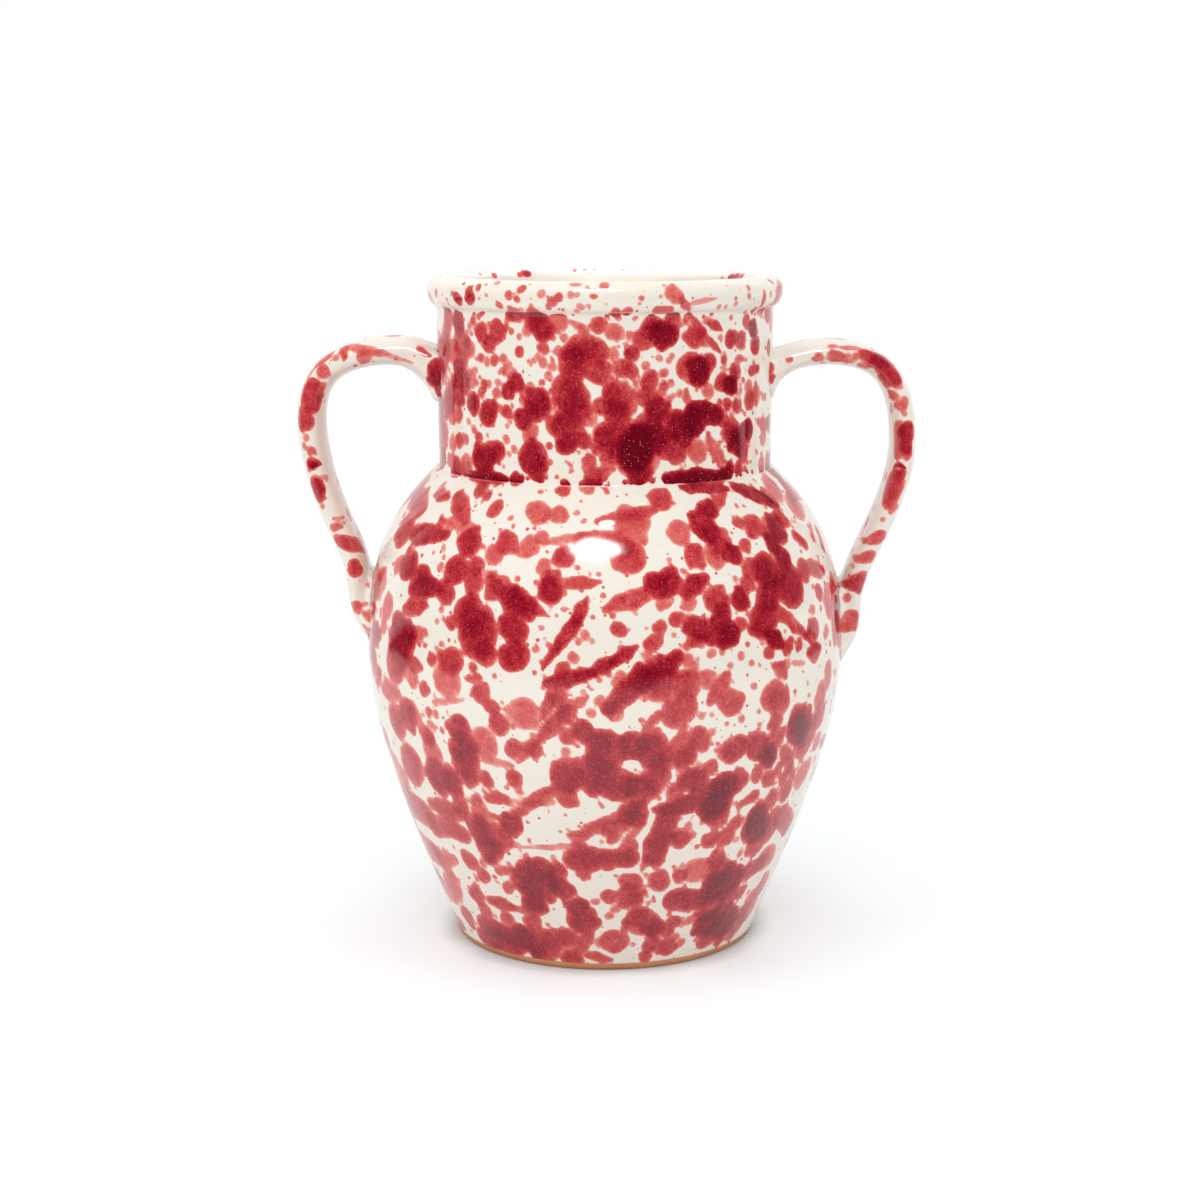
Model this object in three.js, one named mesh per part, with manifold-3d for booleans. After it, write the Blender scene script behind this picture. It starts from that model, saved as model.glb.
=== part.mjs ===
// Two-handled earthenware vase, millimetres, +Z up, origin under the centre of its foot.
// A potter puts it together from six pieces of clay: a floor disc, a thrown body, a neck
// collar luted into the body's mouth, a rolled rim keyed onto the collar, and two pulled
// strap handles that are cut to the curves of the neck and the belly.

import * as THREE from 'three';
import { mergeVertices } from 'three/addons/utils/BufferGeometryUtils.js';
import Module from 'manifold-3d';

const wasm = await Module();
wasm.setup();

// Body of the vase
const bodyHeight = 213.5; // from the table to the seam under the neck
const footRadius = 67.8;
const footLean = 19.7; // degrees that the wall leans out at the foot
const footFullness = 26; // length of straight clay above the foot before the belly turns
const bellyRadius = 107.3;
const bellyHeight = 130.2;
const bellyFullnessBelow = 42.5;
const bellyFullnessAbove = 30.6;
const shoulderSlope = 42.9; // degrees below level where the shoulder reaches the seam
const shoulderFullness = 41.4;
const bodyWall = 9;

// Floor disc, bare clay, with the band of bare clay that shows under the glaze
const bareBand = 3.5;
const footBevel = 1.2;
const floorThickness = 11;
const floorPlugRadius = 55; // the raised middle of the disc, which the wall's heel stands round
const heelFillet = 9;

// Neck collar
const neckRadius = 74.5;
const neckWall = 9;
const neckHeight = 73.7; // from the seam to the crease under the rim
const neckSpread = 0.35; // how much wider the collar is at its top
const seamStep = 1.4; // ledge of the body that shows outside the collar
const seamRound = 1.7;
const ledgeEdge = { out: 0.2, drop: 0.3, in: 0.7 }; // its rounding, as shares of step and round
const collarTongueDepth = 5.5; // lip of the collar that drops into the body's mouth
const collarTongueWall = 3.5;
const collarTongueBevel = 0.2; // share of the tongue's wall that its end is bevelled
const collarRow = 0.3; // height of a row of facets, as a share of the collar's height
const underRimFlare = 1.5;
const underRimHeight = 2.6;
const underRimBend = 0.3; // where the flare bends out, as a share of its height under the rim

// Rolled rim
const rimHeight = 12.8;
const rimSwell = 4.2; // how far the roll stands out past the collar
const rimCrestInset = 2.2; // the crest of the roll, inside the collar's outer face
const rimSwellShare = 0.53; // height of the widest line of the roll, as a share of its height
const rimInnerDrop = 3.6; // where the roll's inner side turns straight down
const rimFootRise = 30; // degrees above level that the roll starts at
// Arms of the roll's three curves, as shares of how far each curve goes
const rimArms = { foot: 0.6, waist: 0.25, side: 0.6, crown: 0.57, lip: 0.5, bore: 0.8 };
const rimKeyHeight = 3.8;
const rimKeyWidth = 3.6;
const rimKeyInset = 2.7; // the key's inner side, outside the bore of the collar
const rimKeyBevel = 0.15; // share of the key's width that each side leans in

// Handles, pulled straps
const strapWidth = 29;
const strapSquareness = 2.5; // 2 is an ellipse, higher is squarer
const rootArmShare = 0.36; // arms of the strap's first curve, as a share of its span
const rootBury = 6; // how deep the strap runs into the clay before it is cut to the surface
const rootSpread = 3; // how much wider each side of the strap gets at its upper root
const rootSpreadLength = 16;
const tongueLength = 17; // rounded end of the strap, pressed onto the belly
const tongueBlunt = 0.9; // 1 brings the tongue to a point inside the wall

// Each handle was pulled by hand, so the two differ. Heights are above the seam for the upper
// half and above the widest line of the belly for the lower half. Reaches are outside the neck
// for the upper half and outside the belly for the lower half. Angles are in degrees.
const leftHandle = {
  rootHeight: 44.7, rootRise: 19, crestReach: 17.4, crestHeight: 52.9, bowReach: 57,
  bowHeight: 22.3, bowTension: 0.69, legTension: 0.335, hipReach: 9.3, hipHeight: 51, hipLean: 65,
  tailReach: -2.7, tailHeight: 6.6, tailLean: 58, tailTension: 0.52, thickness: 12.4,
  legThickness: 11.1, tailThickness: 5.6, webHeight: 7.9, webLength: 27.8,
};
const rightHandle = {
  rootHeight: 44.9, rootRise: 18.5, crestReach: 25.2, crestHeight: 52.1, bowReach: 59.2,
  bowHeight: 12, bowTension: 0.7, legTension: 0.34, hipReach: 8.2, hipHeight: 39.8, hipLean: 67,
  tailReach: -1, tailHeight: -2.2, tailLean: 61.5, tailTension: 0.55, thickness: 11,
  legThickness: 10.2, tailThickness: 4.2, webHeight: 7.3, webLength: 12,
};

// Layer of slip between two pieces of clay that are luted together
const slipGap = 0.3;

// Fineness of the facets
const turnSegments = 64;
const wallSteps = 9;
const liningSteps = 7;
const roundSteps = 5;
const flareSteps = 3;
const searchSteps = 400; // places tried to find where the wall passes a height
const strapSides = 18;
const strapSteps = { root: 7, crest: 10, leg: 9, tail: 12 };
const weldDistance = 1e-4;

// Sizes that follow from the ones above
const seamHeight = bodyHeight;
const seamRadius = neckRadius + seamStep;
const neckTopRadius = neckRadius + neckSpread;
const boreRadius = neckRadius - neckWall;
const collarTongueRadius = boreRadius + collarTongueWall;
const mouthRadius = collarTongueRadius + slipGap;
const rimSeat = seamHeight + neckHeight;
const rimTop = rimSeat + rimHeight;
const rimFootRadius = neckTopRadius + underRimFlare;
const keyInner = boreRadius + rimKeyInset;
const keyOuter = keyInner + rimKeyWidth;
const keyBevel = rimKeyWidth * rimKeyBevel;

const radians = THREE.MathUtils.degToRad;
const point = (radius, height) => new THREE.Vector2(radius, height);
const heading = (degrees) => point(Math.cos(radians(degrees)), Math.sin(radians(degrees)));
const along = (start, direction, length) => start.clone().addScaledVector(direction, length);
const curve = (...points) => new THREE.CubicBezierCurve(...points);

// Moves each point of a profile sideways, to the right of its direction of travel
function offsetProfile(points, distance) {
  return points.map((here, index) => {
    const before = points[Math.max(index - 1, 0)];
    const after = points[Math.min(index + 1, points.length - 1)];
    const travel = after.clone().sub(before).normalize();
    return point(here.x + travel.y * distance, here.y - travel.x * distance);
  });
}

// Turns a closed profile about the vertical axis
function turned(profile) {
  const geometry = new THREE.LatheGeometry(profile, turnSegments);
  return geometry.rotateX(Math.PI / 2);
}

// A profile that doesn't touch the axis ends where it starts
const closed = (profile) => [...profile, profile[0].clone()];

// The wall as two arcs that meet at the belly's widest line
function wallArcs() {
  const foot = point(footRadius, 0);
  const belly = point(bellyRadius, bellyHeight);
  const seam = point(seamRadius, seamHeight - seamRound);
  const up = point(0, 1);
  return {
    lower: curve(
      foot,
      along(foot, heading(90 - footLean), footFullness),
      along(belly, up, -bellyFullnessBelow),
      belly,
    ),
    upper: curve(
      belly,
      along(belly, up, bellyFullnessAbove),
      along(seam, heading(-shoulderSlope), shoulderFullness),
      seam,
    ),
  };
}

// Outer line of the wall from a given height up to the seam
function wallLine(fromHeight, steps) {
  const { lower, upper } = wallArcs();
  const passed = lower.getPoints(searchSteps).findIndex((p) => p.y >= fromHeight);
  const first = passed / searchSteps;
  const below = Array.from(
    { length: steps },
    (_, i) => lower.getPoint(first + (1 - first) * (i / steps)),
  );
  below[0].y = Math.max(fromHeight, 0);
  return [...below, ...upper.getPoints(steps)];
}

// Floor disc: bevelled bare foot, a flat ledge for the wall and a raised plug
function floorDisc() {
  const [ledge] = wallLine(bareBand, wallSteps);
  return turned([
    point(0, 0),
    point(footRadius - footBevel, 0),
    point(footRadius + footBevel * Math.tan(radians(footLean)), footBevel),
    point(ledge.x, bareBand),
    point(floorPlugRadius, bareBand),
    point(floorPlugRadius, floorThickness),
    point(0, floorThickness),
  ]);
}

// Body: the thrown wall, with a heel round the floor's plug and a rebate for the collar
function vesselBody() {
  const outside = wallLine(bareBand, wallSteps);
  const lining = offsetProfile(wallLine(bareBand, liningSteps), -bodyWall)
    .filter((p) => p.y > floorThickness + heelFillet)
    .reverse();
  const heelInner = floorPlugRadius + slipGap;
  const wallFoot = lining.at(-1);
  const heelCorner = point(
    wallFoot.x - (wallFoot.y - floorThickness) * Math.tan(radians(footLean)),
    floorThickness,
  );
  const heel = new THREE.QuadraticBezierCurve(wallFoot, heelCorner, point(heelInner, floorThickness));
  return turned(closed([
    point(heelInner, bareBand),
    ...outside,
    point(seamRadius - seamStep * ledgeEdge.out, seamHeight - seamRound * ledgeEdge.drop),
    point(seamRadius - seamStep * ledgeEdge.in, seamHeight),
    point(mouthRadius, seamHeight),
    point(mouthRadius, seamHeight - collarTongueDepth - slipGap),
    ...lining,
    ...heel.getPoints(roundSteps).slice(1),
  ]));
}

// Outer line of the collar, from the seam to the crease under the rim
function collarLine() {
  const flareStart = rimSeat - underRimHeight;
  const flare = new THREE.QuadraticBezierCurve(
    point(neckTopRadius, flareStart),
    point(neckTopRadius, rimSeat - underRimHeight * underRimBend),
    point(rimFootRadius, rimSeat),
  );
  return [
    point(neckRadius, seamHeight),
    point(neckRadius, seamHeight + neckHeight * collarRow),
    ...flare.getPoints(flareSteps),
  ];
}

// Neck collar: a tongue below that drops into the body's mouth, a key above for the rim
function neckCollar() {
  const tongueEnd = seamHeight - collarTongueDepth;
  const keyTop = rimSeat + rimKeyHeight;
  const tongueBevel = collarTongueWall * collarTongueBevel;
  return turned(closed([
    point(boreRadius, tongueEnd),
    point(collarTongueRadius - tongueBevel, tongueEnd),
    point(collarTongueRadius, tongueEnd + tongueBevel),
    point(collarTongueRadius, seamHeight),
    ...collarLine(),
    point(keyOuter, rimSeat),
    point(keyOuter - keyBevel, keyTop),
    point(keyInner + keyBevel, keyTop),
    point(keyInner, rimSeat),
    point(boreRadius, rimSeat),
  ]));
}

// Rolled rim: a full outward roll on a groove that fits over the collar's key
function rolledRim() {
  const grooveTop = rimSeat + rimKeyHeight + slipGap;
  const foot = point(rimFootRadius, rimSeat);
  const widest = point(neckTopRadius + rimSwell, rimSeat + rimHeight * rimSwellShare);
  const crest = point(neckTopRadius - rimCrestInset, rimTop);
  const inner = point(boreRadius, rimTop - rimInnerDrop);
  const under = curve(
    foot,
    along(foot, heading(rimFootRise), (widest.x - foot.x) * rimArms.foot),
    along(widest, point(0, -1), rimHeight * rimArms.waist),
    widest,
  );
  const over = curve(
    widest,
    along(widest, point(0, 1), (rimTop - widest.y) * rimArms.side),
    along(crest, point(1, 0), (widest.x - crest.x) * rimArms.crown),
    crest,
  );
  const inside = curve(
    crest,
    along(crest, point(-1, 0), (crest.x - inner.x) * rimArms.lip),
    along(inner, point(0, 1), rimInnerDrop * rimArms.bore),
    inner,
  );
  return turned(closed([
    point(boreRadius, rimSeat),
    point(keyInner - slipGap, rimSeat),
    point(keyInner - slipGap + keyBevel, grooveTop),
    point(keyOuter + slipGap - keyBevel, grooveTop),
    point(keyOuter + slipGap, rimSeat),
    ...under.getPoints(roundSteps - 1),
    ...over.getPoints(roundSteps).slice(1),
    ...inside.getPoints(roundSteps).slice(1),
  ]));
}

// Centre line of a strap in the plane of the handles: radius out from the axis, and height
function strapCentreLine(shape) {
  const root = point(neckRadius - rootBury, seamHeight + shape.rootHeight);
  const crest = point(neckRadius + shape.crestReach, seamHeight + shape.crestHeight);
  const bow = point(neckRadius + shape.bowReach, seamHeight + shape.bowHeight);
  const hip = point(bellyRadius + shape.hipReach, bellyHeight + shape.hipHeight);
  const tail = point(bellyRadius + shape.tailReach, bellyHeight + shape.tailHeight);
  const hipWay = heading(180 + shape.hipLean);
  const tailWay = heading(180 + shape.tailLean);
  const rootArm = root.distanceTo(crest) * rootArmShare;
  const legArm = bow.distanceTo(hip) * shape.legTension;
  const tailArm = hip.distanceTo(tail) * shape.tailTension;
  const out = point(1, 0);
  const down = point(0, -1);
  return {
    root: curve(
      root,
      along(root, heading(shape.rootRise), rootArm),
      along(crest, out, -rootArm),
      crest,
    ),
    crest: curve(
      crest,
      along(crest, out, (bow.x - crest.x) * shape.bowTension),
      along(bow, down, (bow.y - crest.y) * shape.bowTension),
      bow,
    ),
    leg: curve(bow, along(bow, down, legArm), along(hip, hipWay, -legArm), hip),
    tail: curve(hip, along(hip, hipWay, tailArm), along(tail, tailWay, -tailArm), tail),
    tailEnd: along(tail, tailWay, rootBury),
    tongueTip: tail.y - shape.tailThickness / 2,
  };
}

// Quarter-round growth towards a root: nothing at a length away, full at the root itself
function rootGrowth(distance, length) {
  const nearness = THREE.MathUtils.clamp(1 - distance / length, 0, 1);
  return 1 - Math.sqrt(1 - nearness * nearness);
}

// Places along the strap, each with its centre, its direction and its half sizes
function strapStations(shape) {
  const line = strapCentreLine(shape);
  const stations = [];
  for (const name of ['root', 'crest', 'leg', 'tail']) {
    const steps = strapSteps[name];
    const start = name === 'root' ? 0 : 1;
    for (let i = start; i <= steps; i += 1) {
      stations.push({
        centre: line[name].getPoint(i / steps),
        way: line[name].getTangent(i / steps),
        part: name,
        share: i / steps,
      });
    }
  }
  stations.push({ centre: line.tailEnd, way: stations.at(-1).way, part: 'tail', share: 1 });
  const half = (from, to, share) => THREE.MathUtils.lerp(from, to, share) / 2;
  for (const station of stations) {
    const { centre, part, share } = station;
    const nearNeck = Math.max(centre.x - neckRadius, 0);
    const toTongueTip = Math.max(centre.y - line.tongueTip, 0);
    const atNeck = part === 'root' || part === 'crest';
    const thickness = {
      root: half(shape.thickness, shape.thickness, share),
      crest: half(shape.thickness, shape.thickness, share),
      leg: half(shape.thickness, shape.legThickness, share),
      tail: half(shape.legThickness, shape.tailThickness, share * share),
    }[part];
    const spread = atNeck ? rootGrowth(nearNeck, rootSpreadLength) * rootSpread : 0;
    const tongue = THREE.MathUtils.clamp(1 - toTongueTip / tongueLength, 0, tongueBlunt);
    station.halfWidth = (strapWidth / 2) * Math.sqrt(1 - tongue * tongue) + spread;
    station.outer = thickness;
    station.inner = thickness + (atNeck ? rootGrowth(nearNeck, shape.webLength) * shape.webHeight : 0);
  }
  return stations;
}

// Lofts the strap's squared oval section through its stations, with flat ends
function strapLoft(shape, side) {
  const stations = strapStations(shape);
  const positions = [];
  const faces = [];
  const power = 2 / strapSquareness;
  const signedPower = (value) => Math.sign(value) * Math.abs(value) ** power;
  for (const { centre, way, outer, inner, halfWidth } of stations) {
    const normal = point(-way.y, way.x);
    for (let i = 0; i < strapSides; i += 1) {
      const angle = (i / strapSides) * Math.PI * 2;
      const lift = signedPower(Math.sin(angle));
      const place = along(centre, normal, lift * (lift > 0 ? outer : inner));
      positions.push(side * place.x, signedPower(Math.cos(angle)) * halfWidth, place.y);
    }
  }
  const addFace = (a, b, c) => faces.push(...(side > 0 ? [a, b, c] : [a, c, b]));
  for (let s = 0; s < stations.length - 1; s += 1) {
    for (let i = 0; i < strapSides; i += 1) {
      const a = s * strapSides + i;
      const b = s * strapSides + ((i + 1) % strapSides);
      addFace(a, b, a + strapSides);
      addFace(b, b + strapSides, a + strapSides);
    }
  }
  const last = (stations.length - 1) * strapSides;
  for (let i = 1; i < strapSides - 1; i += 1) {
    addFace(0, i + 1, i);
    addFace(last, last + i, last + i + 1);
  }
  const geometry = new THREE.BufferGeometry();
  geometry.setAttribute('position', new THREE.Float32BufferAttribute(positions, 3));
  geometry.setIndex(faces);
  return geometry;
}

// Space that the body and the collar fill, with the slip round them
function clayEnvelope() {
  const outside = offsetProfile([...wallLine(bareBand, wallSteps), ...collarLine()], slipGap);
  return turned([
    point(0, bareBand),
    point(outside[0].x, bareBand),
    ...outside.slice(1),
    point(0, outside.at(-1).y),
  ]);
}

function toManifold(geometry) {
  const bare = geometry.clone();
  bare.deleteAttribute('normal');
  bare.deleteAttribute('uv');
  const merged = mergeVertices(bare, weldDistance);
  const mesh = new wasm.Mesh({
    numProp: 3,
    vertProperties: new Float32Array(merged.attributes.position.array),
    triVerts: new Uint32Array(dropFlatFaces(merged.index.array)),
  });
  return new wasm.Manifold(mesh);
}

// A turned profile that ends on the axis has faces there with two corners in one place
function dropFlatFaces(corners) {
  const kept = [];
  for (let i = 0; i < corners.length; i += 3) {
    const [a, b, c] = corners.slice(i, i + 3);
    if (a !== b && b !== c && c !== a) kept.push(a, b, c);
  }
  return kept;
}

function fromManifold(solid) {
  const { vertProperties, triVerts } = solid.getMesh();
  const geometry = new THREE.BufferGeometry();
  geometry.setAttribute('position', new THREE.BufferAttribute(vertProperties, 3));
  geometry.setIndex(new THREE.BufferAttribute(triVerts, 1));
  geometry.computeVertexNormals();
  return geometry;
}

// Handle: the strap, cut to the curves of the neck and the belly
function handle(shape, side) {
  const strap = toManifold(strapLoft(shape, side));
  return fromManifold(strap.subtract(toManifold(clayEnvelope())));
}

const creamGlaze = { color: 0xefe6d6, roughness: 0.14, metalness: 0 };
const bareClay = { color: 0xc98455, roughness: 0.85, metalness: 0 };

const vase = new THREE.Group();

function addPiece(name, geometry, finish) {
  const mesh = new THREE.Mesh(geometry, new THREE.MeshStandardMaterial(finish));
  mesh.name = name;
  vase.add(mesh);
}

addPiece('floor_disc', floorDisc(), bareClay);
addPiece('vessel_body', vesselBody(), creamGlaze);
addPiece('neck_collar', neckCollar(), creamGlaze);
addPiece('rolled_rim', rolledRim(), creamGlaze);
addPiece('handle_left', handle(leftHandle, -1), creamGlaze);
addPiece('handle_right', handle(rightHandle, 1), creamGlaze);

export default vase;
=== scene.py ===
"""Looks of the two-handled splatter vase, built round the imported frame, in metres."""

import logging
import math
from collections.abc import Callable, Sequence
from dataclasses import dataclass, field
from enum import Enum
from functools import cached_property

import bpy
import numpy as np
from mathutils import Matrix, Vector


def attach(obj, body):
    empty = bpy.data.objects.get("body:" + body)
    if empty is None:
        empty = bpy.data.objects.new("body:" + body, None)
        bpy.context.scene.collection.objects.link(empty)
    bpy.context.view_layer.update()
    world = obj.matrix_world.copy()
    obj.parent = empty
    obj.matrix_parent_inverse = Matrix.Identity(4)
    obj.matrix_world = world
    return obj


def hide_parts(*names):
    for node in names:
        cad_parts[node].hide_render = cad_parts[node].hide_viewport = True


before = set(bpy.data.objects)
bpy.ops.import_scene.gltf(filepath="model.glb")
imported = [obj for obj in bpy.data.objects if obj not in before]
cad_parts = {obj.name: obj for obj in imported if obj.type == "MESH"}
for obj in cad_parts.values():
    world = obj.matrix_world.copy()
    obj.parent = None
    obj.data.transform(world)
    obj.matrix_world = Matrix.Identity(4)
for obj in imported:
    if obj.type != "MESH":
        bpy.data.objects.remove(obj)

logging.basicConfig(level=logging.INFO, format="%(message)s")
log = logging.getLogger("vase")

MM = 0.001
USUAL_LAYERS = 2
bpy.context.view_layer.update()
Point = tuple[float, float]
Place = tuple[float, float, float]
Colour = tuple[float, float, float, float]
Throw = tuple[float, ...]
Socket = bpy.types.NodeSocket


class Slot(Enum):
    """Material slots of the record."""

    GLAZE = "splatter_glaze"
    CLAY = "bare_terracotta"


class Attribute(Enum):
    """Values that the splatter leaves on each point of a surface."""

    EDGE = "splash_edge"
    DEPTH = "splash_depth"


def srgb(red: int, green: int, blue: int) -> Colour:
    """Works out the linear colour of a screen colour.

    Args:
        red: Its red, 0 to 255.
        green: Its green.
        blue: Its blue.

    Returns:
        The linear colour, opaque.
    """
    linear = [
        c / 12.92 if c <= 0.04045 else ((c + 0.055) / 1.055) ** 2.4
        for c in (red / 255, green / 255, blue / 255)
    ]
    return (*linear, 1.0)


# Modelling with operators


def select_only(piece: bpy.types.Object) -> None:
    """Selects one object and makes it active.

    Args:
        piece: The object.
    """
    bpy.ops.object.select_all(action="DESELECT")
    piece.select_set(True)
    bpy.context.view_layer.objects.active = piece


def cubic(ends: Sequence[Point], steps: int) -> list[Point]:
    """Points of a cubic curve.

    Args:
        ends: Start, its arm's end, the other arm's end, and the end.
        steps: Number of stretches.

    Returns:
        steps + 1 points, both ends included.
    """
    t = np.linspace(0, 1, steps + 1)[:, None]
    a, b, c, d = (np.array(p, float) for p in ends)
    points = (1 - t) ** 3 * a + 3 * (1 - t) ** 2 * t * b + 3 * (1 - t) * t**2 * c + t**3 * d
    return [tuple(p) for p in points]


def heading(degrees: float, length: float) -> np.ndarray:
    """A step of a given length, at an angle above level."""
    return length * np.array([math.cos(math.radians(degrees)), math.sin(math.radians(degrees))])


def straight(start: Point, end: Point, steps: int) -> list[Point]:
    """Evenly spaced points from start to end, both included."""
    return [tuple(p) for p in np.linspace(start, end, steps + 1)]


def inset(points: Sequence[Point], distance: float) -> list[Point]:
    """Moves a profile sideways, to the left of its direction of travel.

    Args:
        points: The profile.
        distance: How far it moves.

    Returns:
        The moved profile, with as many points.
    """
    line = np.array(points, float)
    way = np.gradient(line, axis=0)
    way /= np.linalg.norm(way, axis=1)[:, None]
    return [tuple(p) for p in line + distance * np.stack([-way[:, 1], way[:, 0]], 1)]


def turn(name: str, profile: Sequence[Point], steps: int) -> bpy.types.Object:
    """Turns a closed profile about the vertical axis, as on a potter's wheel.

    Args:
        name: Name of the piece.
        profile: Radius and height of each point, in millimetres, going up on the outside.
        steps: Number of facets round the axis.

    Returns:
        The finished mesh object, smooth shaded, with its normals out.
    """
    bpy.ops.object.select_all(action="DESELECT")
    bpy.ops.mesh.primitive_plane_add(size=MM)
    piece = bpy.context.object
    piece.name = piece.data.name = name
    bpy.ops.object.mode_set(mode="EDIT")
    bpy.ops.mesh.select_mode(type="VERT")
    bpy.ops.mesh.merge(type="CENTER")
    start = profile[0]
    bpy.ops.transform.translate(value=(start[0] * MM, 0, start[1] * MM))
    for here, there in zip(profile, profile[1:]):
        step = ((there[0] - here[0]) * MM, 0, (there[1] - here[1]) * MM)
        bpy.ops.mesh.extrude_region_move(TRANSFORM_OT_translate={"value": step})
    bpy.ops.mesh.select_all(action="SELECT")
    bpy.ops.mesh.spin(steps=steps, angle=math.tau, center=(0, 0, 0), axis=(0, 0, 1))
    bpy.ops.mesh.select_all(action="SELECT")
    bpy.ops.mesh.remove_doubles(threshold=0.01 * MM)
    bpy.ops.mesh.normals_make_consistent(inside=False)
    bpy.ops.object.mode_set(mode="OBJECT")
    bpy.ops.object.shade_smooth()
    return piece


def read_points(piece: bpy.types.Object) -> np.ndarray:
    """Reads the vertices of a mesh.

    Args:
        piece: The mesh object.

    Returns:
        A row for each vertex, in millimetres.
    """
    flat = np.empty(len(piece.data.vertices) * 3, np.float32)
    piece.data.vertices.foreach_get("co", flat)
    return flat.reshape(-1, 3).astype(float) / MM


def write_points(piece: bpy.types.Object, points: np.ndarray) -> None:
    """Puts vertices, in millimetres, back into a mesh."""
    piece.data.vertices.foreach_set("co", (points * MM).astype(np.float32).ravel())
    piece.data.update()


def write_attribute(piece: bpy.types.Object, attribute: Attribute, values: np.ndarray) -> None:
    """Stores one number for each vertex of a piece."""
    layer = piece.data.attributes.new(attribute.value, "FLOAT", "POINT")
    layer.data.foreach_set("value", values.astype(np.float32))


# Splatter


def both_ends(throw: Throw) -> Throw:
    """Reads a throw, of which a round drop gives only one end.

    Args:
        throw: A round drop's place and radius, or a stroke's two places and two radii, each
            with its layers where they aren't the usual two.

    Returns:
        Across and height of both ends, both radii and the layers.
    """
    if len(throw) in (3, 6):
        throw = (*throw, USUAL_LAYERS)
    if len(throw) == 7:
        return throw
    across, height, radius, layers = throw
    return across, height, across, height, radius, radius, layers


def smooth(share: np.ndarray) -> np.ndarray:
    """Share of a way, with a slow start and a slow end."""
    return share * share * (3 - 2 * share)


def soft_min(first: np.ndarray, second: np.ndarray, join: float) -> np.ndarray:
    """The smaller of two distances, rounded where they are within a join of each other."""
    blend = np.clip(join - np.abs(first - second), 0, None) / join
    return np.minimum(first, second) - blend**2 * join / 4


@dataclass
class Patch:
    """One patch of thrown glaze: round cones that melt together, in millimetres."""

    coat: float
    heads: list[np.ndarray] = field(default_factory=list)
    tails: list[np.ndarray] = field(default_factory=list)
    radii: list[Point] = field(default_factory=list)

    def add(self, head: np.ndarray, tail: np.ndarray, radii: Point) -> None:
        """Adds one round cone.

        Args:
            head: Centre of its head.
            tail: Centre of its tail, or the head again for a round drop.
            radii: Radius of the head and of the tail.
        """
        self.heads.append(head)
        self.tails.append(tail)
        self.radii.append(radii)

    @property
    def size(self) -> float:
        """Largest radius of its cones."""
        return max(max(pair) for pair in self.radii)

    def reach(self) -> tuple[np.ndarray, float]:
        """Finds how far the patch goes.

        Returns:
            Its middle, and the furthest that its edge lies from there.
        """
        ends = np.array(self.heads + self.tails)
        middle = (ends.min(0) + ends.max(0)) / 2
        return middle, float(np.linalg.norm(ends - middle, axis=1).max()) + self.size

    def distance(self, points: np.ndarray, join: float) -> np.ndarray:
        """Works out how far points lie from the edge of the patch.

        Args:
            points: Places on the surface.
            join: How softly the cones melt into each other.

        Returns:
            Signed distances, negative inside.
        """
        edge = np.full(len(points), np.inf)
        for head, tail, radii in zip(self.heads, self.tails, self.radii):
            axis = tail - head
            share = np.clip((points - head) @ axis / max(float(axis @ axis), 1e-9), 0, 1)
            away = np.linalg.norm(points - head - share[:, None] * axis, axis=1)
            edge = soft_min(edge, away - radii[0] - (radii[1] - radii[0]) * share, join)
        return edge


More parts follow.
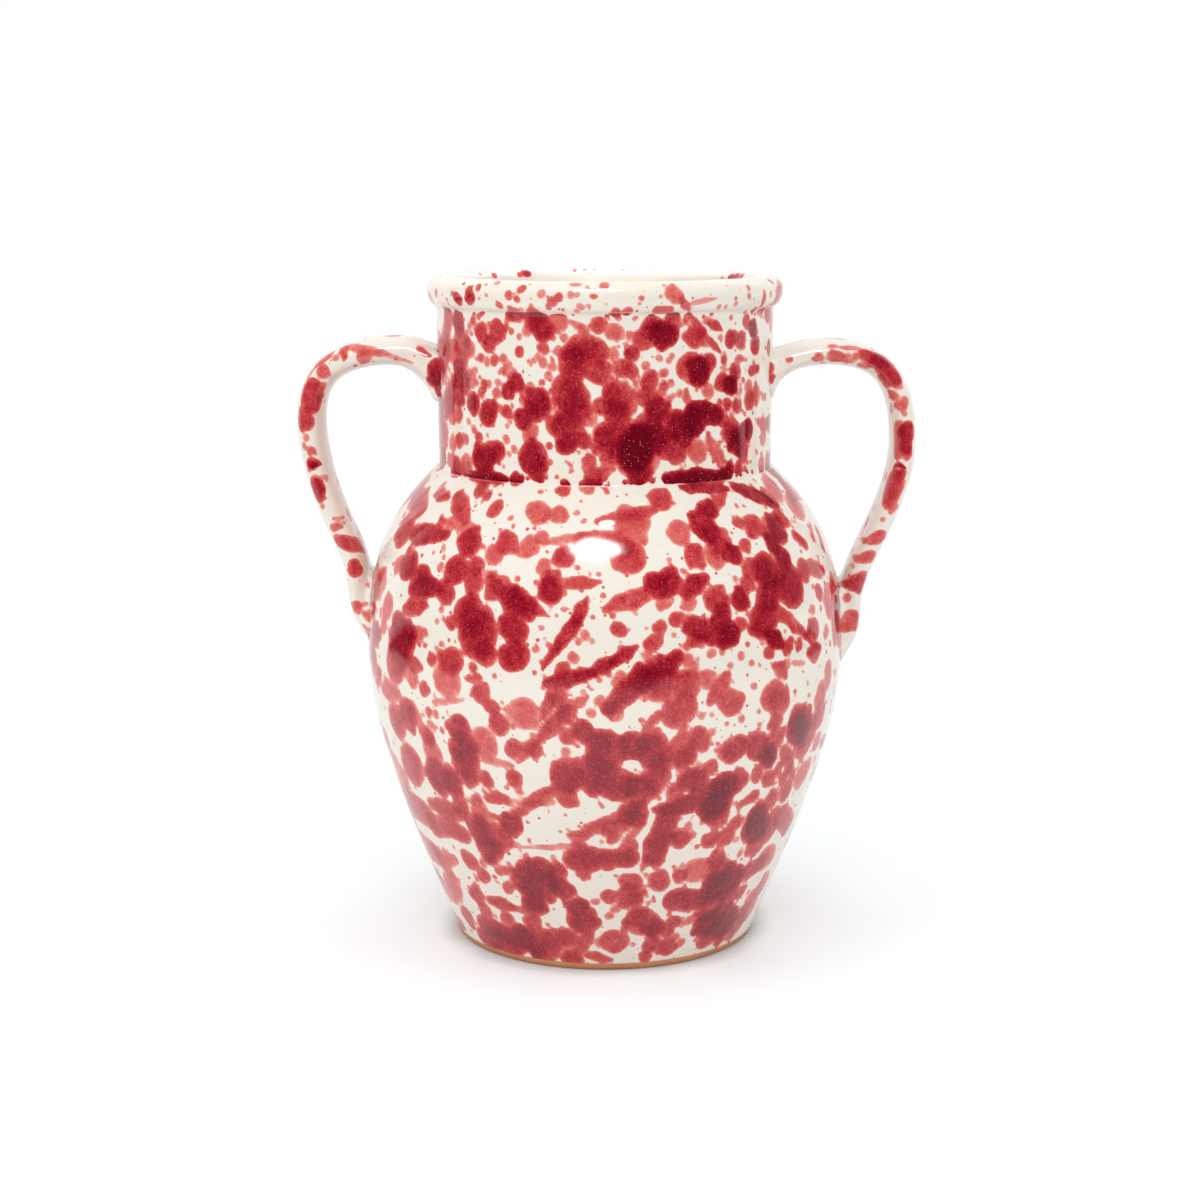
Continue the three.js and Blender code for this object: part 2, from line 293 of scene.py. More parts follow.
@dataclass
class Splatter:
    """Wine-red glaze thrown over the cream coat: placed throws, lobes, satellites and scatter."""

    shape: Callable[[np.ndarray], np.ndarray]
    seed: int = 7
    wall_heights: Point = (1.0, 299.0)
    spread_by_zone: tuple[Point, ...] = ((287.0, 1.0), (214.0, 0.97), (0.0, 1.02))
    # One throw
    shortest: float = 0.1
    drift: Point = (0.1, 0.55)
    drift_way: Point = (0.2, 2.9)
    slender_length: float = 1.6
    slender_size: float = 4.6
    pointed: float = 1.0
    link: float = 1.1
    wander: float = 0.24
    slender_wander: float = 0.1
    level_wander: float = 0.6
    swell: Point = (0.82, 1.18)
    taper: Point = (1.22, 0.6)
    # Its lobes
    lobed_size: float = 2.6
    fewest_lobes: int = 3
    lobe_step: float = 0.75
    slender_lobe: float = 0.7
    lobe_reach: Point = (0.5, 0.92)
    lobe_size: Point = (0.26, 0.56)
    # Its satellites
    satellites: float = 1.6
    satellites_each: float = 12.0
    satellite_flight: float = 3.0
    satellite_gap: float = 1.2
    satellite_size: Point = (0.5, 1.6)
    satellite_coat: Point = (1.3, 2.4)
    # Single drops
    teardrops: float = 0.18
    teardrop_length: Point = (1.0, 3.0)
    drop_tail: float = 0.6
    drop_coat: Point = (1.2, 2.6)
    drop_bias: Point = (1.1, 3.2)
    lip_coat: float = 0.8
    # Masses
    mass_size: Point = (3.0, 5.5)
    mass_bias: Point = (1.6, 2.4)
    mass_tail: Point = (0.3, 1.1)
    mass_way: Point = (-0.4, 1.2)
    mass_length: Point = (0.3, 2.4)
    mass_layers: tuple[float, ...] = (1.0, 1.6, 2.2, 3.0)
    # How patches melt together, and how thick the glaze lies
    inner_join: float = 1.3
    outer_join: float = 0.45
    fringe: float = 0.32
    shared_fringe: float = 0.66
    crisp: float = 0.3
    fade: float = 0.62
    full_size: float = 3.4
    most_volume: float = 1.15
    thinnest: float = 0.55
    layer: float = 0.86
    overlap: float = 0.42
    most_overlap: float = 1.5
    margin: float = 3.0
    unreached: float = 9.0
    # Bands of glaze depth along the seam and the crease under the rim, as height, width and gain.
    # The raised bands are glaze pooled in the grooves and also painted shade there; the lowered
    # bands are thinner glaze on the edges and also a painted highlight line.
    crease_pools_and_painted_light: tuple[tuple[float, float, float], ...] = (
        (216.7, 1.6, 1.3), (215.7, 0.5, 2.4), (214.95, 0.24, -2.4), (287.35, 0.28, -1.6),
        (286.3, 0.7, 1.9),
    )
    patches: list[Patch] = field(default_factory=list)

    def __post_init__(self) -> None:
        """Starts the random draws from the seed."""
        self.random = np.random.RandomState(self.seed)

    def on_wall(self, angle: float, height: float) -> np.ndarray:
        """Finds a point on the outer wall.

        Args:
            angle: Its angle from the front, in degrees.
            height: Its height.

        Returns:
            The point.
        """
        height = min(max(height, self.wall_heights[0]), self.wall_heights[1])
        radius = float(self.shape(np.array(height)))
        turned = math.radians(angle)
        return np.array([radius * math.sin(turned), -radius * math.cos(turned), height])

    def beside(self, angle: float, height: float, around: float, reach: float) -> Point:
        """Finds a place a little way off another.

        Args:
            angle: Angle of the other from the front, in degrees.
            height: Height of the other.
            around: Direction on the wall, in radians from level.
            reach: How far off it lies.

        Returns:
            Its angle and its height.
        """
        radius = float(self.shape(np.array(height)))
        turned = math.degrees(math.cos(around) * reach / radius)
        return angle + turned, height + math.sin(around) * reach

    def drop(self, head: np.ndarray, tail: np.ndarray, radii: Point, coat: float) -> None:
        """Adds a patch of one drop.

        Args:
            head: Centre of its head.
            tail: Centre of its tail.
            radii: Radius of its head and of its tail.
            coat: Thickness of its glaze.
        """
        patch = Patch(coat)
        patch.add(head, tail, radii)
        self.patches.append(patch)

    def spread(self, height: float) -> float:
        """How much the drops at a height spread in the firing."""
        return next(spread for lowest, spread in self.spread_by_zone if height > lowest)

    def throw(self, angle: float, height: float, to_angle: float, to_height: float,
              head: float, tail: float, layers: float) -> None:
        """Places one throw, with the lobes and the satellites that it leaves.

        Args:
            angle: Where it starts, from the front in degrees.
            height: Height of its start.
            to_angle: Where it ends.
            to_height: Height of its end.
            head: Radius at its start.
            tail: Radius at its end.
            layers: How many layers of glaze it leaves.
        """
        draw = self.random.uniform
        head, tail = head * self.spread(height), tail * self.spread(height)
        biggest = max(head, tail)
        length = self.length((angle, height), (to_angle, to_height))
        if length < self.shortest:
            drift = biggest * draw(*self.drift)
            to_angle, to_height = self.beside(angle, height, draw(*self.drift_way), drift)
        slender = length > self.slender_length * biggest and (
            biggest < self.slender_size or min(head, tail) < self.pointed)
        patch = Patch(self.thinnest + layers * self.layer)
        self.chain(patch, (angle, height), (to_angle, to_height), (head, tail), slender)
        self.patches.append(patch)
        if biggest < self.lobed_size:
            return

        def part_way() -> tuple[float, float, float]:
            """Draws a place on the throw.

            Returns:
                Its angle, its height and the throw's radius there.
            """
            share = draw(0, 1)
            return (angle + (to_angle - angle) * share, height + (to_height - height) * share,
                    head + (tail - head) * share)

        lobes = 1 if slender else int(
            self.fewest_lobes + (length + 2 * biggest) / (self.lobe_step * biggest))
        for _ in range(lobes):
            *place, radius = part_way()
            radius *= self.slender_lobe if slender else 1.0
            way = draw(0, math.tau)
            centre = self.on_wall(*self.beside(*place, way, radius * draw(*self.lobe_reach)))
            size = radius * draw(*self.lobe_size)
            patch.add(centre, centre, (size, size))
        for _ in range(int(self.random.poisson(self.satellites + length / self.satellites_each))):
            *place, radius = part_way()
            way = draw(0, math.tau)
            flight = self.random.exponential(self.satellite_flight)
            centre = self.on_wall(*self.beside(*place, way, radius + flight + self.satellite_gap))
            size = draw(*self.satellite_size)
            self.drop(centre, centre, (size, size), draw(*self.satellite_coat))

    def length(self, start: Point, end: Point) -> float:
        """Straight distance between two places on the wall, each an angle and a height."""
        return float(np.linalg.norm(self.on_wall(*start) - self.on_wall(*end)))

    def chain(self, patch: Patch, start: Point, end: Point, radii: Point, slender: bool) -> None:
        """Lays the wandering middle of a throw.

        Args:
            patch: The patch to add it to.
            start: Angle and height of its start.
            end: Angle and height of its end.
            radii: Radius at its start and at its end.
            slender: Whether it tapers to both ends, as a flick of the brush does.
        """
        biggest = max(radii)
        count = max(1, int(self.length(start, end) / (self.link * biggest)))
        places, sizes = [], []
        for piece in range(count + 1):
            share = piece / count
            inner = 0 < piece < count
            wander = biggest * (self.slender_wander if slender else self.wander) * inner
            swell = self.random.uniform(*self.swell) if inner else 1.0
            full, narrow = self.taper if slender else (1.0, 0.0)
            taper = full * math.sqrt(1 - narrow * (2 * share - 1) ** 2)
            level = self.random.normal() * wander * self.level_wander
            upright = self.random.normal() * wander
            places.append((start[0] + (end[0] - start[0]) * share + level,
                           start[1] + (end[1] - start[1]) * share + upright))
            sizes.append((radii[0] + (radii[1] - radii[0]) * share) * swell * taper)
        for i in range(count):
            ends = (self.on_wall(*places[i]), self.on_wall(*places[i + 1]))
            patch.add(*ends, (sizes[i], sizes[i + 1]))

    def scatter(self, count: int, angles: Point, heights: Point, sizes: Point) -> None:
        """Scatters single drops and short teardrops over a stretch of wall.

        Args:
            count: Number of drops.
            angles: First and last angle from the front, in degrees.
            heights: Lowest and highest place.
            sizes: Smallest and largest radius.
        """
        draw = self.random.uniform
        for _ in range(count):
            place = (draw(*angles), draw(*heights))
            size = sizes[0] + (sizes[1] - sizes[0]) * self.random.beta(*self.drop_bias)
            head = tail = self.on_wall(*place)
            if draw() < self.teardrops:
                way = draw(0, math.tau)
                tail = self.on_wall(*self.beside(*place, way, size * draw(*self.teardrop_length)))
            self.drop(head, tail, (size, size * self.drop_tail), draw(*self.drop_coat))

    def masses(self, count: int, angles: Point, heights: Point) -> None:
        """Throws masses at random, for the sides that no throw was placed on.

        Args:
            count: Number of throws.
            angles: First and last angle from the front, in degrees.
            heights: Lowest and highest place.
        """
        draw = self.random.uniform
        for _ in range(count):
            place = (draw(*angles), draw(*heights))
            head = self.mass_size[0] + self.mass_size[1] * self.random.beta(*self.mass_bias)
            tail = head * draw(*self.mass_tail)
            way = draw(*self.mass_way) + (math.pi if draw() < 0.5 else 0)
            end = self.beside(*place, way, head * draw(*self.mass_length))
            self.throw(*place, *end, head, tail, self.random.choice(self.mass_layers))

    def thickness(self, patch: Patch, edge: np.ndarray) -> tuple[np.ndarray, np.ndarray]:
        """Glaze that a patch leaves: thin and pale at its edge, fuller inside and in big drops.

        Args:
            patch: The patch.
            edge: Signed distance to its edge, negative inside it.

        Returns:
            How thick it looks where it is the thickest, and where it lies with a thicker one.
        """
        volume = min(math.sqrt(patch.size / self.full_size), self.most_volume)
        rise = np.clip(-edge / (self.fade * patch.size), 0, 1)
        rise = rise * (2 - rise)
        full = patch.coat * volume * np.clip(-edge / self.crisp, 0, 1)
        alone, together = (full * (least + (1 - least) * rise)
                           for least in (self.fringe, self.shared_fringe))
        return alone, together

    def measure(self, points: np.ndarray) -> tuple[np.ndarray, np.ndarray]:
        """Distance to the nearest patch's edge and depth of glaze, at each point.

        Args:
            points: Places on the surface, in millimetres.

        Returns:
            Signed distance, negative inside the glaze, and the depth of the glaze.
        """
        order = np.argsort(points[:, 2])
        rising = points[order]
        heights = rising[:, 2]
        edge = np.full(len(points), self.unreached)
        top, topmost, total = np.zeros((3, len(points)))
        for patch in self.patches:
            middle, reach = patch.reach()
            reach += self.margin
            low, high = np.searchsorted(heights, (middle[2] - reach, middle[2] + reach))
            near = np.nonzero(((rising[low:high] - middle) ** 2).sum(1) < reach**2)[0]
            if not len(near):
                continue
            index = low + near
            distance = patch.distance(rising[index], self.inner_join)
            edge[index] = soft_min(edge[index], distance, self.outer_join)
            alone, together = self.thickness(patch, distance)
            topmost[index] = np.where(alone > top[index], together, topmost[index])
            top[index] = np.maximum(top[index], alone)
            total[index] += together
        unsorted = np.empty((2, len(points)))
        under = 1 - np.exp((topmost - total) * self.overlap / self.most_overlap)
        unsorted[:, order] = edge, top + self.most_overlap * under
        return unsorted[0], unsorted[1]

    def coat_piece(self, piece: bpy.types.Object,
                   bare: Callable[[np.ndarray], np.ndarray] | None = None) -> None:
        """Leaves the splatter's values on a piece.

        Args:
            piece: The piece to coat.
            bare: Says which points the throws didn't reach, such as the inside.
        """
        points = read_points(piece)
        edge, depth = self.measure(points)
        # Pooled glaze with painted shade in the creases, and thinner glaze with a painted highlight
        # line on their edges
        for height, width, gain in self.crease_pools_and_painted_light:
            depth += gain * np.exp(-(((points[:, 2] - height) / width) ** 2))
        depth = np.maximum(depth, 0.0)
        if bare is not None:
            hidden = bare(points)
            edge[hidden] = self.unreached
            depth[hidden] = 0.0
        write_attribute(piece, Attribute.EDGE, edge)
        write_attribute(piece, Attribute.DEPTH, depth)


# Where the red glaze was thrown. A round drop has an angle from the front in degrees, and a
# height and a radius in millimetres. A stroke has two angles with heights, and two radii. Last
# come its layers of glaze, unless they are two. Other places get masses and drops at random.

SHOULDER_LEFT = (
    (-62, 207, -54, 206.5, 2.5, 2.5), (-50, 208, -41, 199, 4.5, 3.6),
    (-48, 198, -37, 197, 2.5, 2, 1), (-42, 211, 3.5), (-38, 209, 2.5), (-33, 204, 3.5),
    (-27, 202, 1.5, 1), (-75, 203, -64, 200, 6, 5), (-66, 190, 8), (-61, 191, -46, 193, 4.5, 4, 3),
    (-50, 196, 3), (-45, 188, 1.5, 1), (-36.5, 190.5, 6, 3), (-26, 192, 5), (-28, 187, 4, 1),
    (-57, 178, 7, 3), (-50, 172, 7, 3), (-50, 172, -42, 171, 4, 3.5, 3), (-62, 177, 4, 1),
    (-38.5, 180, 6.5, 3), (-40, 170, 5), (-44, 180, 2, 1), (-33, 182.5, 4.2), (-32.5, 176, 5),
    (-28, 179, -20, 171, 3, 5), (-20, 171, -12.5, 164.5, 4.5, 0.5), (-27, 173, 4),
    (-18, 167, 5, 3),
)
BELLY_LEFT = (
    (-54, 160, -47, 164, 4, 3.5), (-57, 153, -51, 150, 6, 5, 3), (-55, 145, 10, 3),
    (-50, 150, -46, 153, 3, 2.5, 1), (-58, 135, 9), (-52, 138, -47, 137, 4, 2.5), (-50, 131, 4, 1),
    (-63.5, 158, 5.5, 1), (-65, 149, 3.5, 1), (-32, 161, 8, 3), (-30, 153, 9, 3), (-28, 147, 5),
    (-20.5, 158, 6, 3), (-21.3, 147, 6.4, 3), (-43.5, 141, 2.8), (-38, 141, 6), (-38, 133, 7, 1),
    (-43, 123, -33, 127, 1.5, 0.5, 1), (-37.5, 158, 3), (-41, 163, 1.6, 1), (-40, 149, 1.5, 1),
    (-35, 146, 1.6, 1), (-31, 141, 2.3), (-33, 136, -29, 137, 1.6, 1.6), (-29, 130, 4.3),
    (-26, 125, 3.2), (-24.5, 117, 4.5), (-18.5, 123, 6.5, 1), (-46, 127.5, 3.2), (-45, 118, 2.3),
    (-42.5, 117.5, 2, 1), (-45, 112.5, 2.3, 1), (-41, 111, 1.6, 1), (-66, 121, -57, 122, 4, 4, 1),
    (-60, 108, 8), (-54, 113, 7), (-51, 115, 5, 1), (-36, 113, 6, 3), (-36, 104, 7, 3),
    (-29, 107, 6.5, 1), (-47, 107, 4, 1), (-21.5, 107, 4.3),
)
SHOULDER_FRONT = (
    (-20, 191, 4.5, 1), (-18.5, 204, 5, 1), (-13, 204, 4.2, 1), (-8, 205, 1.5, 1),
    (-6, 202, 1.3, 1), (-13, 213, 3), (-5.5, 214, 3, 1), (-16.5, 195, 3.2, 1),
    (-17, 193, -4, 197, 1, 2, 1), (-2, 202, 14, 206, 2.5, 2.5), (7, 200, 7, 1), (6, 188, 7),
    (-10, 188, 4.5), (-6, 195, 4, 193, 4, 5.5, 1.5), (16.5, 209, 5), (19.5, 196, 4.8, 1),
    (22.2, 187, 4.6), (26, 199, 30, 205, 5, 5, 3), (28, 196, 5, 3), (-13, 180, 4),
    (-12.5, 174, 5, 3), (-15, 184, 3, 1), (-10, 178, -1, 179, 3.2, 1.2), (-21, 170, 6, 3),
    (-4, 173, -6.5, 163, 1, 3.8, 3), (-6.5, 163, -14, 143, 3.8, 1.2, 3),
    (0, 168, 10, 174.5, 2.4, 4.3, 1.6), (3, 160, 3.2), (12, 160, 3), (16, 163, 3.3),
    (10.3, 153.5, 3.5), (12, 178, 5, 3), (15, 177, 5, 3), (13, 170, 3, 1), (19, 182, 1.5, 1),
    (19, 174, 24, 179, 4.5, 3.5, 3), (19, 169, 3, 1), (26, 170, 5.5), (27, 163, 4.5, 3),
    (20, 160, 28, 155, 5, 5, 3), (18, 152, 21, 155, 1.5, 4),
)
BELLY_FRONT = (
    (-4.5, 157, 2, 1), (-6, 154.5, 1.5, 1), (-3, 155, 1.3, 1), (-14.5, 160, 1.3, 1),
    (-15.7, 151, 1.7, 1), (-7, 148, 2.5, 1), (-9.5, 142, 3.2), (-13, 137, -3, 142, 3, 3.2, 3),
    (-3, 142, 2, 147, 3.2, 3.5, 3), (2, 147, 7, 153, 3.5, 1.5, 3), (-11, 131, 4.5), (-9, 124, 4),
    (-12, 131, -15, 119.5, 3, 0.5), (-4, 132, -9, 126, 1.5, 2.5), (-9, 126, -16, 110, 3.5, 2),
    (-16, 110, -21, 101, 2, 0.7), (-1.5, 130, 2.3, 1), (-3, 125, 2.2, 1),
    (16, 148, 8, 139, 3.5, 6, 3), (8, 139, 1, 127, 6, 4, 3), (12, 137, 8, 2.4), (18, 135, 6),
    (16, 124, 7), (2, 126, 4, 1), (12, 124, 8, 116, 3, 0.8), (19, 140, 21, 147, 2.5, 1, 1),
    (9.5, 148, 2.2, 1), (7, 143, 2.5, 1), (3.3, 140, 2.5, 1), (18.5, 146.5, 2.7, 1),
    (24, 148, 2, 1), (27, 148, 1.5, 1), (23, 137, 4, 1), (28, 138, 24, 128, 3.5, 3),
    (29.8, 126, 5.7), (22, 122, 1.8, 1), (24.5, 122, 1.3, 1), (24.8, 114.5, 2, 1),
    (-4.5, 116, 4.7, 3), (-8.5, 114, 3.2), (-9, 107.5, 2.2, 1), (-1, 112, 3.5), (0, 106, 8, 3),
    (7, 110, 6, 3), (11, 107, 7, 3), (18, 118, 15, 104, 2, 3), (22, 111, 5), (19, 108, 4),
    (18, 103, 4), (-16.3, 108, 4), (26.5, 106, 1.6, 1), (29.5, 105, 3),
)
SHOULDER_RIGHT = (
    (25, 214, 41, 212, 2.5, 2.5, 3.6), (30, 204, 41, 212, 4, 1), (45, 212, 58, 204, 4, 4, 3.6),
    (57, 205, 5), (63, 208, 6, 1), (69, 200, 7, 1), (38, 199, 2.6), (41, 205, 1.3, 1),
    (30, 193, 6), (28, 187, 5, 1), (33.5, 187, 4.5, 3.6), (38, 190, 3), (37.5, 181, 4.6),
    (32.3, 177.5, 1.5, 1), (44, 197, 5.5), (41, 194, 2.5), (49, 196, 4, 1), (52, 193, 6, 3.6),
    (57, 197, 4), (59, 190, 62, 186, 4, 4), (48, 189, 5, 3.6), (50, 183, 5, 3.6),
    (44, 177, 7.8, 3.2), (50, 170, 8.8, 3.2), (41, 168, 7, 3.4), (38.5, 158, 7, 3.2),
    (36, 175, 3.5), (43, 163, 58, 143, 4, 0.6), (57, 176, 5), (59, 177, 68, 173, 4, 3),
    (29, 169, 2.5), (33, 168.5, 4.5, 3.6), (32.5, 159, 3),
)
BELLY_RIGHT = (
    (29, 155, 5.5, 4.1), (40, 153, 44, 148, 3.5, 3.5, 4.1), (40.5, 145, 2.8), (46, 146, 3.3),
    (50.5, 145.5, 2.6), (57.5, 150.5, 5.3), (55.5, 152, 2), (55, 141, 60, 141, 3.5, 3.5),
    (57.5, 159, 2.4, 1), (62.5, 165, 3.6), (66, 165, 72, 164, 2, 2, 1), (68, 157, 6, 1),
    (64, 146.5, 3, 1), (71, 142, 3, 1), (42, 139, 45.5, 134, 2.8, 2.8), (46.3, 138.5, 2.2, 1),
    (48, 139, 53, 137, 0.8, 0.8, 1), (35.8, 132, 1.8, 1), (35, 142, 1.6, 1), (29, 142, 1.6, 1),
    (32, 145.5, 2, 1), (32.5, 118.5, 2, 1), (41, 126, 6.5), (43.5, 122, 6), (43, 114, 4),
    (38.5, 105, 6), (43, 104, 6), (38, 114.5, 1.6, 1), (51, 112, 6), (54, 108, 9, 4.1),
    (62, 118, 6, 1), (66, 127, 5, 1), (63, 110, 7), (31.5, 105, 5.8), (27.3, 105.5, 1.8, 1),
    (55.5, 122, 1.5, 1), (54.5, 127.5, 1.2, 1),
)
LOWER_LEFT = (
    (-35.5, 97, 7, 3), (-35, 91, 4.5), (-30, 101, -22, 100, 1.5, 1.2, 1), (-45.5, 99, 6, 1),
    (-46, 106, 4), (-46, 87, 8, 3), (-41, 86, 6, 3), (-41.5, 94, 2.3), (-40, 75, 5),
    (-52, 73, -40, 72, 4.5, 4), (-58, 87.5, 9), (-57.5, 97, 2.5, 1), (-70, 68, -58, 66, 9, 8),
    (-55, 61, -42, 62, 6, 5), (-35, 65, 7, 3), (-33, 58, 7, 3), (-30, 63, 7), (-34, 71, 3),
    (-33.5, 52, 3), (-32, 47, -28, 49, 3.5, 3), (-42, 48.5, 4.7), (-39, 42, 3.6),
    (-37.2, 49, 2, 1), (-30.5, 38.5, 3), (-42, 40, 1.7, 1), (-60, 46, -50, 47, 5, 3, 1),
    (-57, 38, 5, 1), (-60, 30, 7, 1), (-56.5, 15, 5), (-75, 25, -62, 24, 6, 5, 1),
    (-75, 47, -62, 45, 8, 7), (-45, 31, 5), (-43.5, 36, 2, 1), (-43, 23, 4),
    (-39, 30, -30, 29, 3.8, 3), (-30, 29, -23, 27.5, 2, 0.5), (-34.5, 22, 3.5), (-25, 23, 4),
    (-46, 15, -30, 13, 6, 6, 3), (-50, 8, -25, 8, 5, 5, 3), (-28, 15, 6, 3), (-29.5, 91, 3.5),
    (-22, 93, 3.8), (-21, 88, 2, 1), (-30, 83, -25, 84, 3.5, 3), (-24, 82, 2, 1), (-34.5, 80, 3),
    (-33, 82.5, 2, 1), (-32.5, 78, 2, 1), (-36, 76, -28, 74, 1.5, 1.5), (-28, 74, -20, 80, 1.5, 1),
    (-25, 71, 5.5, 3), (-27, 66, 3), (-26, 62, 2.5), (-24, 43, 7, 3), (-22, 49, 6, 3),
    (-22, 35, 6, 3),
)
LOWER_FRONT = (
    (-11.5, 101.5, 1.8, 1), (-9, 95, 7, 3), (-3, 97, 8, 3), (3, 93, 8, 3), (9, 91, 7, 3),
    (-9, 86, 4.5), (-12, 90, -25, 75, 4, 1.2), (-12, 84, -25, 83, 0.8, 0.8, 1), (13, 101, 5),
    (12, 95, 6), (5, 79, 4.5), (7.5, 78, 5.5, 3), (10, 76, 4, 63, 1.6, 1.4), (-9, 69, 4, 75, 2, 5),
    (2, 68, 3), (-25, 61, -5, 64, 0.5, 1.5, 1), (-8, 57, 6, 58, 6, 5.5, 3), (-7, 64, 3),
    (7, 63, 3), (-6, 50, 3), (16, 78, 13, 58, 6, 5, 3), (20, 65, 4.5), (12, 58, 10, 51, 2, 0.8),
    (14, 53, 2, 1), (22, 93, 6, 3), (27, 86, 20, 82, 7, 5, 3), (20, 82, 12, 81, 5, 1.5, 3),
    (28, 77, 6, 3), (17, 88, 4.2), (25.5, 98, 3.8), (22.5, 99, 2, 1), (18, 103, 4.5),
    (21.7, 71.5, 2.1, 1), (23.3, 67, 2.2, 1), (28.7, 63, 4.2), (16, 44.5, 4.8),
    (16, 44.5, 11.5, 43.5, 2.5, 0.6, 1), (22, 46.3, 3.4), (20.3, 50, 1.5, 1), (22, 52, 1.5, 1),
    (7, 45, 4.3), (7.5, 39, 5.5), (9, 36, 4), (1.5, 38.5, 3.8), (3, 32, 2.3, 1), (1, 28.5, 2, 1),
    (12.5, 38.5, 1.2, 1), (5, 36, 2, 1), (-20, 50, 6, 3), (-14, 50, 5, 3), (-19, 43, 8, 3),
    (-12, 41, 5, 3), (-9, 33, 5, 3), (-7, 25, 7, 3), (-3, 36, 2, 1), (-22, 32, 6, 3),
    (-5, 19, -10, 9, 3, 3), (-18, 15, 6), (-13, 15, 4.5), (-22, 10, 8), (-12, 6, 5),
    (-6, 8, 2, 5.5, 3, 2), (10, 27, 5), (13, 24, 7), (16, 21, 5, 3), (7, 25, 6, 18, 2.5, 1),
    (22, 35, 30, 33, 6.5, 6, 3), (23, 23, 3.5), (21, 18.5, 3.5), (27, 22, 33, 26, 2.5, 2, 1),
    (4, 15.5, 5.8), (-2, 14.5, 2.2, 1), (16, 12, 4.3), (14.5, 6, 3), (9.7, 13, 1.3, 1),
    (22.5, 9.5, 4.5), (25, 15, 2, 1), (27, 11, 2.5, 1),
)
LOWER_RIGHT = (
    (32, 105, 5.5), (39, 104, 5.5), (43, 98, 5, 4.1), (40, 91, 3.7), (45, 87.5, 4.3),
    (47.5, 92, 3), (50.5, 86, 3.3), (31, 88, 7, 4.1), (35, 90, 4.5), (29, 80, 8, 4.1), (30, 73, 5),
    (36, 78, 40.5, 81, 2.5, 4.5), (43, 77, 2, 1), (36.5, 69, 3.7), (34.5, 63, 4.5),
    (32, 57, 1.5, 1), (48, 76, 5), (54, 78, 5), (44, 70, 7, 4.1), (46, 63, 8, 4.1), (48, 55, 6),
    (52, 62, 7), (56, 66, 64, 58, 6, 6), (48, 100, 56.5, 83, 4, 1.5), (57, 101, 9), (61, 83, 7, 1),
    (66, 96, 4, 1), (57.5, 91.5, 2, 1), (33, 52, 5), (27, 48, 6, 1), (34, 44, 7), (36, 36, 8, 4.1),
    (41, 38, 8, 4.1), (43, 30, 5.5), (36, 28, 7), (48, 42, 55, 44, 5, 5), (57, 45, 7, 1),
    (48.5, 30.5, 3.2), (38, 18, 8, 4.1), (46, 15, 8, 4.1), (54, 14, 8), (60, 18, 7, 1),
    (38, 10, 5), (46, 8, 4), (62, 28, 6, 1), (41.3, 52.5, 2, 1), (38.2, 60.5, 1.6, 1),
)
NECK_LEFT = (
    (-57, 280, 5, 3), (-57.5, 272, 5.5), (-56, 265, 5), (-62, 268, 5, 1), (-52, 272, 3, 3),
    (-50.5, 270, 4, 1), (-48.5, 282, 2.2), (-45.5, 278, 3.6), (-41, 281.5, 1.3, 1),
    (-37, 278, 4.7), (-41, 273, 4.3), (-24, 283, 4), (-20, 280, 5.5, 3), (-15, 283, 4, 1),
    (-26, 279, 2.5, 1), (-32, 285, 2.5), (-28.8, 270, 2.5), (-20.5, 272.5, 2.7),
    (-23.5, 267, 1.5, 1), (-20.3, 266, 2.3, 1), (-18.5, 260.5, 2, 1), (-17, 264.5, 2, 1),
    (-45, 266.5, 2, 1), (-42, 265, 2, 1), (-39, 266, 2.5), (-35.5, 267, 2, 1), (-33, 264.5, 2, 1),
    (-32, 261.5, 2.2, 1), (-48.5, 261, 2, 1), (-57, 262, 4), (-55, 255, 6, 3), (-61, 255, 4, 1),
    (-50, 257, 4, 1), (-43.5, 255.5, 2.5), (-41.5, 256, 2, 1), (-38.5, 252.5, 2.3, 1),
    (-37, 257, 1.8, 1), (-45, 252, 2.5), (-30, 257, 4.2, 3), (-33.5, 253, 3.5, 3),
    (-25, 255, 2.5, 1), (-61, 248, -55, 248, 3, 3, 3), (-49.5, 247, 4.6, 3), (-42, 243, 5.5, 3),
    (-37, 246, 2, 1), (-33.5, 244.5, 3), (-33.7, 239, 1.4, 1), (-23.5, 250, 5.5, 3),
    (-23, 246, 5.5, 3), (-27.5, 242, 4.5, 3), (-25, 237, 4, 1), (-57.2, 242, 3),
    (-51.5, 239, 1.6, 1), (-49, 236, 2, 1), (-63.5, 240, 4, 1), (-71, 233, 4, 1),
    (-25, 226, 6.5, 3), (-23, 223, 6, 3), (-46, 224, -38, 228, 6, 5, 3), (-44, 221, 6, 3),
    (-46, 233, 2.5), (-58, 230, 3.5), (-62.5, 228, 3.5, 1), (-53.5, 231, 2.5), (-60, 218, 5),
    (-54, 220, 5, 1), (-50, 216, -35, 216, 3, 3, 3), (-30, 216, 3, 3), (-34, 233, 2, 1),
    (-33, 227, 1.4, 1), (-31, 229, 1.8, 1),
)
